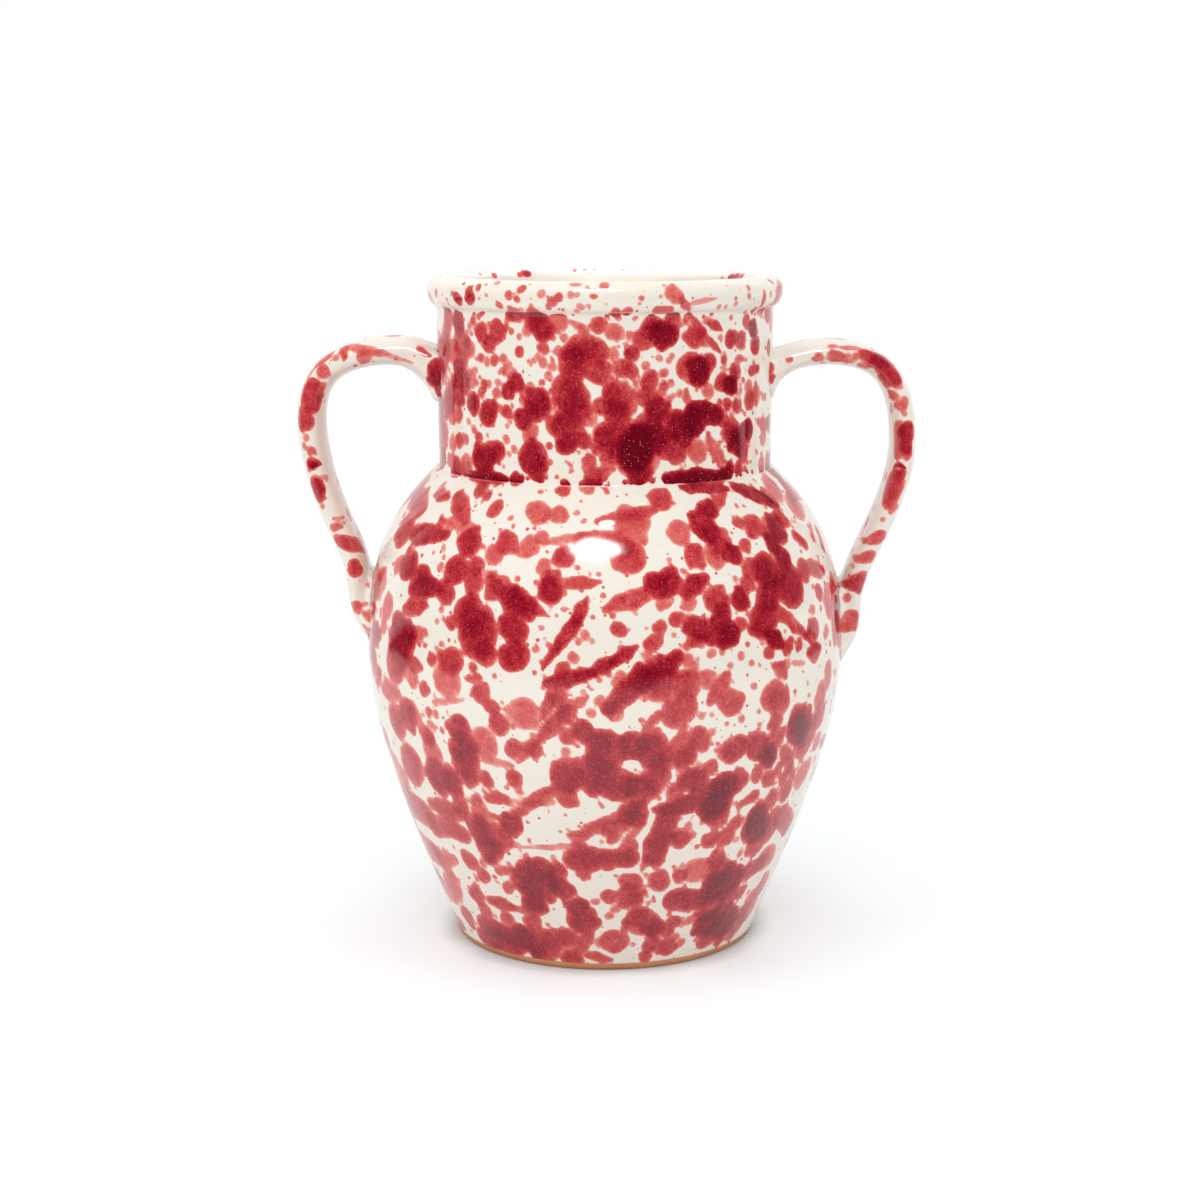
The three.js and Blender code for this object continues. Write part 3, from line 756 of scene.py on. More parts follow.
NECK_FRONT = (
    (-6.3, 280, 2.2, 1), (-2, 282, 3.5), (-7, 272, 6), (-3, 271, 6), (-10, 265, 7, 3),
    (-2, 262, 5), (-15, 271, 2.5, 1), (-12, 255, 7, 2.4), (-9, 252, 6, 2.4), (-10, 245, 7, 2.6),
    (-12, 238, 7, 2.2), (-13, 232, 4.5, 3), (-16, 240, 5), (-7, 234, 4), (-5, 243, 3.5, 1),
    (-1, 248, 4), (-2.5, 231, 3), (0, 236, 4), (-5, 225, 3), (-4, 219, 4), (-1, 220, 3),
    (-13, 216, 2), (3.5, 279, 3.7, 1), (2.5, 270, 2.7, 1), (4, 285, 1.5, 1), (12, 276, 5),
    (9, 270, 3, 3), (16, 280, 5.5), (20, 278, 6, 4), (22, 282, 4), (30, 276, 4.8), (5, 264, 4),
    (8.5, 263, 3.3), (6.5, 257.5, 1.8, 1), (13, 265, 2.2, 1), (17.7, 268, 1.6, 1),
    (20.8, 267, 1.5, 1), (18.7, 262, 2.1, 1), (21.7, 257.5, 1.8, 1), (27.5, 264, 6), (2, 254, 4),
    (5, 250, 7), (4, 244, 6, 3), (14, 258, 4), (19, 256, 2.5), (15, 251, 5), (17, 246, 6, 4),
    (21, 251, 2, 1), (24.5, 253, 1.8, 1), (10, 235, 9, 226, 8, 8, 1.6),
    (10.4, 233.5, 9.7, 227.5, 8.7, 8.2, 6), (11, 226, 8, 1), (3, 235, 7, 3), (2, 228, 5),
    (16, 234, 7, 4), (15, 241, 5), (11, 221, 6, 3), (25, 238, 7, 4), (29, 240, 6.5, 5.4),
    (20, 231, 6), (24, 228, 5),
)
NECK_RIGHT = (
    (27, 287, 34, 277, 1, 1.6, 2.5), (34, 277, 41, 269, 1.6, 0.6, 2.5),
    (36, 282, 41, 279, 2.5, 1.2, 2.5), (45, 274, 3.7, 2.5), (50, 274, 3.7, 2.5), (54, 281, 3, 2.5),
    (58, 278, 4, 4.6), (60, 271, 4.5, 2.5), (61, 285, 68, 288, 1.5, 1.5, 1), (35, 265, 4.5, 2.5),
    (32, 261, 6, 4.6), (36, 253, 3, 1), (42, 266, 2, 2.5), (48, 266, 52, 266, 1.5, 1.5, 2.5),
    (41, 257, 4, 2.5), (48, 260, 4, 2.5), (46, 255, 4.5, 4.6), (50.5, 252, 1.7, 1),
    (57, 260.5, 62, 261, 3.5, 3, 2.5), (30, 245, 39, 243, 5.5, 5, 4.6), (42, 240, 3, 2.5),
    (32, 227.5, 4.8, 1), (36, 233, 42, 222, 3, 2, 1), (26, 225, 1.3, 1), (41.5, 226.5, 1.5, 1),
    (47, 235, 6, 2.5), (50, 230, 6, 4.6), (55.5, 235, 5, 4.6), (53, 225, 4, 2.5),
    (44, 247, 2.8, 2.5), (49.5, 246, 3.2, 2.5), (56, 248, 4.5, 2.5), (55, 253.5, 3, 1),
    (61, 249, 4.5, 1), (46, 242, 1.7, 1), (63.3, 237.5, 1.8, 1), (20, 218, 45, 217, 3, 3, 4.6),
    (45, 218, 3.5, 4.6), (50, 219, 3, 2.5), (68, 230, 4, 1), (67, 218, 4, 1),
)
RIM = (
    (-67.6, 293, 2, 1), (-59.5, 291, 1.2, 1), (-52.7, 291.5, 2.9, 3), (-46.9, 295, 2.5),
    (-47, 291.6, 2.9, 3), (-42.8, 296.6, 1.7), (-50.3, 298, 0.9, 1), (-42, 292.2, 0.9, 1),
    (-39, 293.6, 0.9, 1), (-40.3, 298, 0.9, 1), (-30.6, 293.8, 2.1), (-27.7, 292.4, 1.7),
    (-26.5, 296.6, 2), (-24, 298.6, 0.8, 1), (-34.2, 289.5, 1.8), (-19.8, 294.8, 1.9, 1),
    (-16.3, 291.8, 2.5), (-14.1, 293.5, 2.1), (-17.5, 289.5, 1.6), (-23.2, 289.7, 1.3, 1),
    (-27.1, 287.9, 1.3, 1), (-30.3, 288.4, 1.4, 1), (-10.9, 298.9, -7.6, 298.9, 0.9, 0.9, 1),
    (-10.4, 294.4, 1.5, 1), (-8.7, 294.6, 1.2, 1), (-5.5, 297.7, 1, 1),
    (-4.4, 294.2, -2.6, 294.2, 1, 1), (-7.3, 289.6, 1.6, 1), (-5, 289.9, 1.1, 1),
    (-8.6, 287.6, 1.3, 1), (-0.4, 298.2, 2.2, 1), (-36.1, 299.2, 1.6, 1), (-30.6, 286, 3.4),
    (-27.3, 285.6, 2.2, 3), (-22.6, 285.6, 3.4), (18.2, 298.3, 0.8, 1),
    (20.6, 295.6, 22, 293.9, 3.6, 3.4, 1), (23.6, 292.2, 1.9), (23.6, 292.2, 27, 287.7, 1.7, 1),
    (26.9, 290.8, 36.2, 292.7, 0.9, 0.3, 1), (10.4, 291, 0.9, 1), (3.3, 286.9, 2.3),
    (6.5, 287.5, 2.3), (16, 288.2, 20, 288.2, 3, 3), (37.7, 288.8, 1.4, 1), (40.4, 288.8, 1.2, 1),
    (44.4, 289.6, 1.3, 1), (50.4, 296.2, 1.4, 1), (50.7, 292.6, 1.4, 1),
    (59.3, 294.2, 60.4, 287.8, 1.4, 1.4), (64.6, 292.5, 1.5, 1),
)

# Drops on the inner side of the far lip: angle, radius from the axis, height, size and layers
LIP = (
    (-146.3, 66.4, 298.2, 2.8, 3), (-143, 66, 297.4, 1.8, 2), (-129.1, 65.9, 297.7, 1.9, 2),
    (-120.6, 66.6, 298.6, 1.2, 1), (-168, 67.9, 299.3, 1.2, 1), (-172, 68, 299.3, 1.2, 1),
    (-176, 67.9, 299.3, 1, 1), (114.8, 65.9, 297.6, 2.8, 3), (118.5, 65.6, 297.0, 2.6, 3),
    (110.5, 66, 298, 2.4, 2), (124.6, 65.5, 296.4, 1.4, 1), (172.7, 67.4, 299, 0.9, 1),
)
PLACED = (
    SHOULDER_LEFT, SHOULDER_FRONT, SHOULDER_RIGHT, BELLY_LEFT, BELLY_FRONT, BELLY_RIGHT,
    LOWER_LEFT, LOWER_FRONT, LOWER_RIGHT, NECK_LEFT, NECK_FRONT, NECK_RIGHT, RIM,
)

# Thrown at random: how many masses, between which angles and heights, and how many single drops,
# also with their smallest and largest radius
MASSES = (
    (330, (70, 290), (2, 212)), (115, (70, 290), (214, 286)), (20, (70, 290), (288, 298)),
    (13, (272, 297), (217, 284)), (8, (284, 296), (120, 208)),
)
SCATTER = (
    (520, (66, 294), (3, 286), (0.8, 4.0)), (330, (-66, 66), (3, 213), (0.6, 2.1)),
    (260, (-66, 66), (213, 286), (0.8, 2.7)), (30, (66, 294), (288, 299), (0.8, 2.6)),
    (14, (-66, 66), (288, 299), (0.4, 1.0)),
)

# Drops on the handles, seen from the front, as above but with a distance from the axis in
# millimetres for the angle
LEFT_HANDLE_DROPS = (
    (106.8, 264, 3.1, 1), (113, 269, 96, 265.5, 2.4, 1.2, 1), (96, 265.5, 85, 261.4, 1, 0.4, 1),
    (115.2, 268.2, 115.2, 263, 2.4, 0.5), (118.5, 264, 1.6, 1), (121.4, 265.5, 127.2, 261, 1.8, 2),
    (124.8, 258.8, 2.8, 1.4), (128.9, 259.2, 131.6, 255.2, 1, 1, 1),
    (129.7, 250.7, 130, 244.4, 4.4, 4.8), (125.4, 250.7, 2.2, 1), (126.3, 246, 2, 1),
    (134, 235.3, 133, 236, 4.5, 4), (132.5, 228.8, 1.6, 1), (134, 225.3, 1.5, 1),
    (130.7, 223, 1.9, 1.4), (130.5, 217.4, 130.5, 217.4, 2.7, 2.4),
    (129, 217.2, 126.5, 216.7, 1, 0.4, 1), (130.7, 211, 123.8, 210.7, 0.9, 0.9, 1),
    (124.2, 210.4, 1.2, 1), (128.9, 207, 128, 203, 3.4, 3, 3), (126.3, 198, 1.5, 1),
    (118, 203.3, 118, 200.6, 0.5, 0.4, 1), (115.5, 193.1, 114, 192, 2.8, 1.8, 1.4),
    (120.5, 192, 117, 192.5, 1, 0.8, 1), (121.4, 188.5, 118, 188.7, 2, 0.8, 1.4),
    (119.8, 182.7, 108.8, 178.8, 2.6, 3.2), (110, 185.8, 108.8, 181.8, 0.8, 0.8),
    (112.3, 169.3, 112.5, 171, 3.5, 2.6), (106.8, 162, 106, 162, 1.2, 1, 1),
    (111.5, 152.2, 2.6, 1.4), (108.4, 153.7, 107, 154, 1.2, 0.8, 1),
    (106.8, 148, 105, 149, 2.2, 1.6, 1), (108, 144.2, 106, 142, 1.1, 1, 1),
    (107, 141, 105, 138.6, 1, 0.8, 1), (74, 261, 74.5, 255, 3.6, 4, 3),
    (74.5, 255, 72.4, 249.4, 4, 2.6, 3), (72, 268.5, 72.5, 266, 1.6, 1.8),
    (81.8, 268, 77.3, 265, 1.8, 0.8),
)
RIGHT_HANDLE_DROPS = (
    (81.6, 263.3, 1.7, 1), (99.3, 269.2, 101, 269.2, 1.6, 1.6, 1), (94.3, 264.6, 1.9, 1.4),
    (95.4, 261.4, 97, 261.4, 1.1, 0.9, 1), (100.7, 264.3, 103.3, 264.1, 2.6, 2.4, 1.6),
    (105, 268.6, 111.6, 268.2, 1.3, 1.4, 1), (106.8, 263.2, 108, 263, 2.7, 2, 0.8),
    (110.8, 264.3, 1.8, 1), (114.3, 260.3, 2.4, 1), (114.7, 266, 121.8, 262.8, 3, 3.9, 2.4),
    (121.8, 262.8, 128, 255.6, 3.9, 4.1, 2.4), (121.6, 259.3, 1.4, 1),
    (122.6, 254.7, 124, 252.5, 2.6, 2.6, 1.6), (129.3, 252.5, 2, 0.8), (127.2, 247.2, 2.4, 1.4),
    (132.8, 245.3, 1.9, 1), (131.1, 242.8, 128.6, 243, 2.2, 1.4, 1), (132.8, 239.6, 1.3, 1),
    (127.2, 242.2, 127.2, 239.5, 1.2, 1.2, 1.4), (134.2, 231.6, 134, 229, 3.6, 3.4, 3),
    (130, 233.7, 130, 222.5, 3, 3.2, 1.2), (133.6, 223.7, 2.9, 3), (135, 221.4, 2.2, 1.4),
    (130, 213.7, 3.2, 1.2), (133, 215, 1.2, 1), (128, 207.8, 125.8, 200, 5, 3),
    (72.8, 260, 72.8, 254, 1.8, 1.9, 3), (119.9, 198, 118.8, 196, 0.9, 0.9, 1),
    (128.5, 198, 2, 1.4), (127.6, 195.4, 1.5, 1), (123.8, 191.6, 1.2, 1),
    (116, 189, 113.5, 184.2, 0.8, 0.8, 1.4), (123.6, 184.5, 113.2, 181.4, 3, 0.4, 1.4),
    (118.8, 175, 109.3, 174, 2.8, 0.4, 1.4), (111.8, 170.6, 110.4, 170.2, 1, 0.8, 1),
    (114.7, 163, 107, 162.6, 4.4, 1.2), (116, 166, 115, 160, 2.4, 2.4, 1.4),
    (108.2, 156.4, 1.9, 1), (105, 160.8, 104, 161, 1, 1, 1),
    (108.2, 144.6, 111.3, 147.3, 3.7, 3.7, 1.2),
)


# Shaders


class Wire:
    """A number in a shader, which takes part in sums."""

    def __init__(self, shades: "Shades", socket: Socket) -> None:
        """Keeps the nodes that the number belongs to."""
        self.shades = shades
        self.socket = socket

    def sum(self, operation: str, *others: "Wire | float", clamp: bool = False) -> "Wire":
        """Works out one step of arithmetic.

        Args:
            operation: Blender's name for it.
            others: What it is worked out with.
            clamp: Whether the result is kept between 0 and 1.

        Returns:
            The result.
        """
        node = self.shades.node("ShaderNodeMath", {"operation": operation, "use_clamp": clamp},
                                {i: value for i, value in enumerate((self, *others))})
        return Wire(self.shades, node.outputs[0])

    def __add__(self, other: "Wire | float") -> "Wire":
        """This and the other."""
        return self.sum("ADD", other)

    def __radd__(self, other: float) -> "Wire":
        """The other and this."""
        return self.sum("ADD", other)

    def __sub__(self, other: "Wire | float") -> "Wire":
        """This less the other."""
        return self.sum("SUBTRACT", other)

    def __rsub__(self, other: float) -> "Wire":
        """The other less this."""
        return (self * -1.0).sum("ADD", other)

    def __mul__(self, other: "Wire | float") -> "Wire":
        """This times the other."""
        return self.sum("MULTIPLY", other)

    def __rmul__(self, other: float) -> "Wire":
        """The other times this."""
        return self.sum("MULTIPLY", other)

    def __truediv__(self, other: "Wire | float") -> "Wire":
        """This divided by the other."""
        return self.sum("DIVIDE", other)

    def clamped(self) -> "Wire":
        """This, kept between 0 and 1."""
        return self.sum("ADD", 0.0, clamp=True)

    def below(self, limit: "Wire | float", blur: float) -> "Wire":
        """1 where this is under a limit, 0 above it, with a blurred step between."""
        return ((limit - self) / blur + 0.5).clamped()


class Shades:
    """The nodes of one material or of the world, built up one by one."""

    def __init__(self, tree: bpy.types.NodeTree, output: str) -> None:
        """Empties a node tree and gives it an output.

        Args:
            tree: The node tree.
            output: Blender's type name of the output.
        """
        self.tree = tree
        self.tree.nodes.clear()
        self.output = self.node(output, {}, {})

    def node(self, kind: str, settings: dict[str, object],
             values: dict[str | int, object]) -> bpy.types.Node:
        """Adds a node.

        Args:
            kind: Blender's type name.
            settings: Its settings, which are made first. "stops" gives a ramp's stops.
            values: A number, a colour, a socket or a Wire for each input.

        Returns:
            The node.
        """
        node = self.tree.nodes.new(kind)
        for setting, value in settings.items():
            if setting == "stops":
                self.fill_ramp(node.color_ramp, value)
            else:
                setattr(node, setting, value)
        for key, value in values.items():
            if isinstance(value, Wire):
                value = value.socket
            if isinstance(value, Socket):
                self.tree.links.new(value, node.inputs[key])
            else:
                node.inputs[key].default_value = value
        return node

    @staticmethod
    def fill_ramp(ramp: bpy.types.ColorRamp, stops: Sequence[tuple]) -> None:
        """Gives a ramp its stops.

        Args:
            ramp: The ramp.
            stops: A place and a colour for each.
        """
        while len(ramp.elements) > 1:
            ramp.elements.remove(ramp.elements[-1])
        ramp.elements[0].position, ramp.elements[0].color = stops[0]
        for position, colour in stops[1:]:
            ramp.elements.new(position).color = colour

    def wire(self, socket: Socket) -> Wire:
        """A number of this tree."""
        return Wire(self, socket)

    def ramp(self, value: Wire, stops: Sequence[tuple]) -> Socket:
        """Colour looked up in a row of stops."""
        return self.node("ShaderNodeValToRGB", {"stops": stops}, {0: value}).outputs["Color"]

    def mix(self, share: Wire, first: bpy.types.Node, second: bpy.types.Node) -> bpy.types.Node:
        """Mixes two shaders."""
        return self.node("ShaderNodeMixShader", {}, {
            0: share, 1: first.outputs[0], 2: second.outputs[0]})

    def finish(self, shader: bpy.types.Node) -> None:
        """Links the last shader to the output."""
        self.tree.links.new(shader.outputs[0], self.output.inputs["Surface"])


class Finish(Shades):
    """One material."""

    def __init__(self, name: str) -> None:
        """Starts an empty material.

        Args:
            name: Its name.
        """
        self.material = bpy.data.materials.new(name)
        self.material.use_nodes = True
        super().__init__(self.material.node_tree, "ShaderNodeOutputMaterial")
        self.place = self.node("ShaderNodeTexCoord", {}, {}).outputs["Object"]

    def attribute(self, attribute: Attribute) -> Wire:
        """A value stored on the piece's points."""
        node = self.node("ShaderNodeAttribute", {"attribute_name": attribute.value}, {})
        return self.wire(node.outputs["Fac"])

    def noise(self, size: float, detail: float, stretch: Point = (1, 1),
              roughness: float = 0.5) -> Wire:
        """Soft noise between 0 and 1.

        Args:
            size: Size of its grains in millimetres.
            detail: Number of finer layers.
            stretch: How much it is squeezed across and up the piece.
            roughness: Strength of the finer layers.

        Returns:
            The noise.
        """
        place = self.node("ShaderNodeMapping", {}, {
            "Vector": self.place, "Scale": (stretch[0], stretch[0], stretch[1])}).outputs[0]
        node = self.node("ShaderNodeTexNoise", {}, {
            "Vector": place, "Scale": 1 / (size * MM), "Detail": detail, "Roughness": roughness})
        return self.wire(node.outputs["Fac"])

    def sway(self, size: float, swing: float, detail: float, roughness: float = 0.5) -> Wire:
        """Soft noise that swings to both sides of 0.

        Args:
            size: Size of its grains in millimetres.
            swing: Its whole swing.
            detail: Number of finer layers.
            roughness: Strength of the finer layers.

        Returns:
            The noise.
        """
        return (self.noise(size, detail, roughness=roughness) - 0.5) * swing

    def dots(self, cell: float, shift: float, gain: float, less: float, blur: float,
             grown: Wire | float = 0.0) -> Wire:
        """Fine dots, at most one in a cell, all sizes in millimetres.

        Args:
            cell: Size of a cell.
            shift: Moves the pattern, so that two layers differ.
            gain: Radius of the largest, before less is taken off.
            less: What every radius loses, so that many cells stay empty.
            blur: Softness of their edge.
            grown: What every radius gains.

        Returns:
            1 on a dot, 0 beside it.
        """
        place = self.node("ShaderNodeMapping", {}, {
            "Vector": self.place, "Location": (shift, shift, shift)}).outputs[0]
        node = self.node("ShaderNodeTexVoronoi", {}, {"Vector": place, "Scale": 1 / (cell * MM)})
        lot = self.node("ShaderNodeSeparateColor", {}, {0: node.outputs["Color"]}).outputs[0]
        away = self.wire(node.outputs["Distance"]) * cell
        return away.below(self.wire(lot) * gain - less + grown, blur)

    def blend(self, share: Wire | float, first: Socket | Colour,
              second: Socket | Colour) -> Socket:
        """Mixes two colours.

        Args:
            share: Share of the second.
            first: One colour.
            second: The other.

        Returns:
            The mixed colour.
        """
        node = self.node("ShaderNodeMix", {"data_type": "RGBA"}, {0: share, 6: first, 7: second})
        return node.outputs[2]

    def bump(self, height: Wire, depth: float, under: Socket | None = None) -> Socket:
        """Turns a height into a dented surface.

        Args:
            height: 0 to 1.
            depth: How far 1 stands over 0, in millimetres.
            under: A bump that lies under this one.

        Returns:
            The normal.
        """
        values = {"Height": height, "Strength": 1.0, "Distance": depth * MM}
        if under is not None:
            values["Normal"] = under
        return self.node("ShaderNodeBump", {}, values).outputs[0]

    def surface(self, **values: object) -> bpy.types.Material:
        """Ends the finish with its shader.

        Args:
            values: What its sockets get, by name, with _ for a space.

        Returns:
            The material.
        """
        named = {key.replace("_", " "): value for key, value in values.items()}
        self.finish(self.node("ShaderNodeBsdfPrincipled", {}, named))
        return self.material


@dataclass(frozen=True)
class Glaze:
    """Cream glaze with wine-red splatter, bare clay under its lower edge."""

    cream: Colour = srgb(244, 238, 227)
    cream_pooled: Colour = srgb(240, 231, 216)
    pool_size: float = 38.0
    reds: tuple[tuple[float, Colour], ...] = (
        (0.0, srgb(243, 200, 187)), (0.11, srgb(235, 157, 146)), (0.19, srgb(225, 114, 107)),
        (0.29, srgb(211, 84, 83)), (0.4, srgb(194, 57, 63)), (0.51, srgb(172, 33, 48)),
        (0.67, srgb(146, 13, 37)), (0.84, srgb(124, 4, 29)), (1.0, srgb(104, 1, 23)),
    )
    thinnest: float = 0.25
    thickest: float = 7.2
    edge_blur: float = 0.3
    # Noise as size, swing, detail and, for the last, roughness
    outline_waves: tuple[float, ...] = (3.0, 0.5, 1)
    outline_teeth: tuple[float, ...] = (0.9, 0.2, 1)
    clouds: tuple[float, ...] = (7.0, 0.7, 2)
    mottle: tuple[float, ...] = (2.6, 0.5, 2)
    grain: tuple[float, ...] = (0.95, 1.65, 3, 0.8)
    # Dots as cell, shift, gain, less and blur
    specks: tuple[float, ...] = (4.6, 0.0, 2.2, 1.35, 0.22)
    mist: tuple[float, ...] = (2.3, 0.31, 1.6, 1.3, 0.2)
    # Pale dots on the red: pinholes in the glaze, and painted glints of light on its fine grain
    pinholes_and_glints: tuple[float, ...] = (0.95, 0.77, 0.55, 0.3, 0.14)
    speck_density: float = 1.7
    # How far from the red the specks are larger, and how far they go
    crowd: Point = (3.2, 6.0)
    crowded_specks: float = 0.3
    crowded_mist: float = 0.22
    specks_end: Point = (8.5, 0.2)
    # How much of the thick red the pinholes and painted glints take, and their pale colour
    pinhole_and_glint_share: float = 0.1
    pinhole_and_glint: Colour = srgb(232, 160, 150)
    # The waver of the lower edge: where it is high, and how high
    bare_across: float = -4.0
    bare_forward: float = 9.5
    bare_from: float = 0.04
    bare_height: float = 4.4
    waver: tuple[float, ...] = (13.0, 2.2, 2)
    bare_blur: float = 0.5
    clay: Colour = srgb(222, 158, 118)
    clay_dark: Colour = srgb(188, 122, 84)
    grit_size: float = 0.8
    toasted: Colour = srgb(150, 84, 50)
    toasted_share: float = 0.45
    toasted_reach: float = 0.4
    # Surface
    gloss: float = 0.045
    wear: float = 0.05
    wear_size: float = 5.0
    clay_roughness: float = 0.8
    rings_size: float = 14.0
    rings_depth: float = 0.10
    dimple_size: float = 16.0
    dimple_depth: float = 0.16
    drop_height: float = 0.035
    refraction: float = 1.5

    def make(self, name: str) -> bpy.types.Material:
        """Builds the material.

        Args:
            name: Its name.

        Returns:
            The material.
        """
        finish = Finish(name)
        edge = finish.attribute(Attribute.EDGE)
        depth = finish.attribute(Attribute.DEPTH)
        ragged = finish.sway(*self.outline_waves) + finish.sway(*self.outline_teeth)
        outer = (edge + ragged).below(0.0, self.edge_blur)
        specks = self.speckle(finish, edge)
        uneven = (1.0 + finish.sway(*self.clouds) + finish.sway(*self.mottle)
                  + finish.sway(*self.grain))
        density = (self.thinnest + depth) * uneven
        layered = (density * outer).sum("MAXIMUM", specks * self.speck_density)
        red = finish.ramp((layered / self.thickest).clamped(), self.reds)
        pooled = finish.noise(self.pool_size, 1) * 0.5
        cream = finish.blend(pooled, self.cream, self.cream_pooled)
        body = finish.blend(outer.sum("MAXIMUM", specks), cream, red)
        # Pinholes and painted glints: pale dots, more of them where the red lies thick
        pinholes_and_glints = finish.dots(*self.pinholes_and_glints) * outer * (density * self.pinhole_and_glint_share).clamped()
        body = finish.blend(pinholes_and_glints, body, self.pinhole_and_glint)
        colour, bare = self.bare_edge(finish, body)
        worn = self.gloss + finish.noise(self.wear_size, 2) * self.wear
        return finish.surface(
            Base_Color=colour, Roughness=worn * (1.0 - bare) + bare * self.clay_roughness,
            Normal=self.relief(finish, outer, depth), IOR=self.refraction)

    def speckle(self, finish: Finish, edge: Wire) -> Wire:
        """Fine specks and mist of red, larger near the drops.

        Args:
            finish: The finish to add to.
            edge: Distance to the nearest red.

        Returns:
            1 on a speck, 0 beside it.
        """
        near = edge.below(*self.crowd)
        specks = finish.dots(*self.specks, grown=near * self.crowded_specks)
        mist = finish.dots(*self.mist, grown=near * self.crowded_mist)
        return specks.sum("MAXIMUM", mist) * edge.below(*self.specks_end)

    def relief(self, finish: Finish, outer: Wire, depth: Wire) -> Socket:
        """Throwing rings, soft dimples, and drops that stand a little proud.

        Args:
            finish: The finish to add to.
            outer: Where the red lies.
            depth: How thick it lies.

        Returns:
            The normal.
        """
        rings = finish.noise(self.rings_size, 1, stretch=(0.05, 1.0))
        normal = finish.bump(rings, self.rings_depth)
        normal = finish.bump(finish.noise(self.dimple_size, 1), self.dimple_depth, normal)
        return finish.bump(outer * (0.5 + depth * 0.12).clamped(), self.drop_height, normal)

    def bare_edge(self, finish: Finish, glaze: Socket) -> tuple[Socket, Wire]:
        """Lets bare clay show under the wavering lower edge of the glaze.

        Args:
            finish: The finish to add to.
            glaze: Colour of the glaze above.

        Returns:
            The colour, and how bare each place is.
        """
        split = finish.node("ShaderNodeSeparateXYZ", {}, {0: finish.place})
        across, deep, height = (finish.wire(split.outputs[i]) for i in range(3))
        high = (across * self.bare_across - deep * self.bare_forward + self.bare_from).clamped()
        line = high * self.bare_height + finish.sway(*self.waver)
        bare = (height / MM).below(line, self.bare_blur)
        grit = finish.noise(self.grit_size, 3, roughness=0.7)
        clay = finish.blend(grit, self.clay_dark, self.clay)
        off_line = (height / MM - line).sum("ABSOLUTE")
        rim = off_line.below(self.toasted_reach, self.bare_blur)
        toasted = finish.blend(rim * self.toasted_share, glaze, self.toasted)
        return finish.blend(bare, toasted, clay), bare


@dataclass(frozen=True)
class Clay:
    """Bare terracotta with grit and turning marks."""

    warm: Colour = srgb(220, 152, 110)
    dark: Colour = srgb(178, 110, 74)
    grit: Colour = srgb(232, 188, 142)
    grain_size: float = 0.9
    patch_size: float = 17.0
    patch_share: float = 0.6
    grain_share: float = 0.3
    grit_dots: tuple[float, ...] = (2.6, 0.0, 0.9, 0.55, 0.2)
    grit_share: float = 0.6
    pores_size: float = 0.7
    pores_depth: float = 0.12
    roughness: Point = (0.72, 0.2)

    def make(self, name: str) -> bpy.types.Material:
        """Builds the material.

        Args:
            name: Its name.

        Returns:
            The material.
        """
        finish = Finish(name)
        grain = finish.noise(self.grain_size, 3, roughness=0.7)
        patch = finish.noise(self.patch_size, 2)
        shade = patch * self.patch_share + grain * self.grain_share
        colour = finish.blend(shade, self.warm, self.dark)
        grit = finish.dots(*self.grit_dots) * self.grit_share
        colour = finish.blend(grit, colour, self.grit)
        normal = finish.bump(finish.noise(self.pores_size, 3, roughness=0.8), self.pores_depth)
        least, swing = self.roughness
        return finish.surface(Base_Color=colour, Roughness=least + grain * swing, Normal=normal)


# The vase


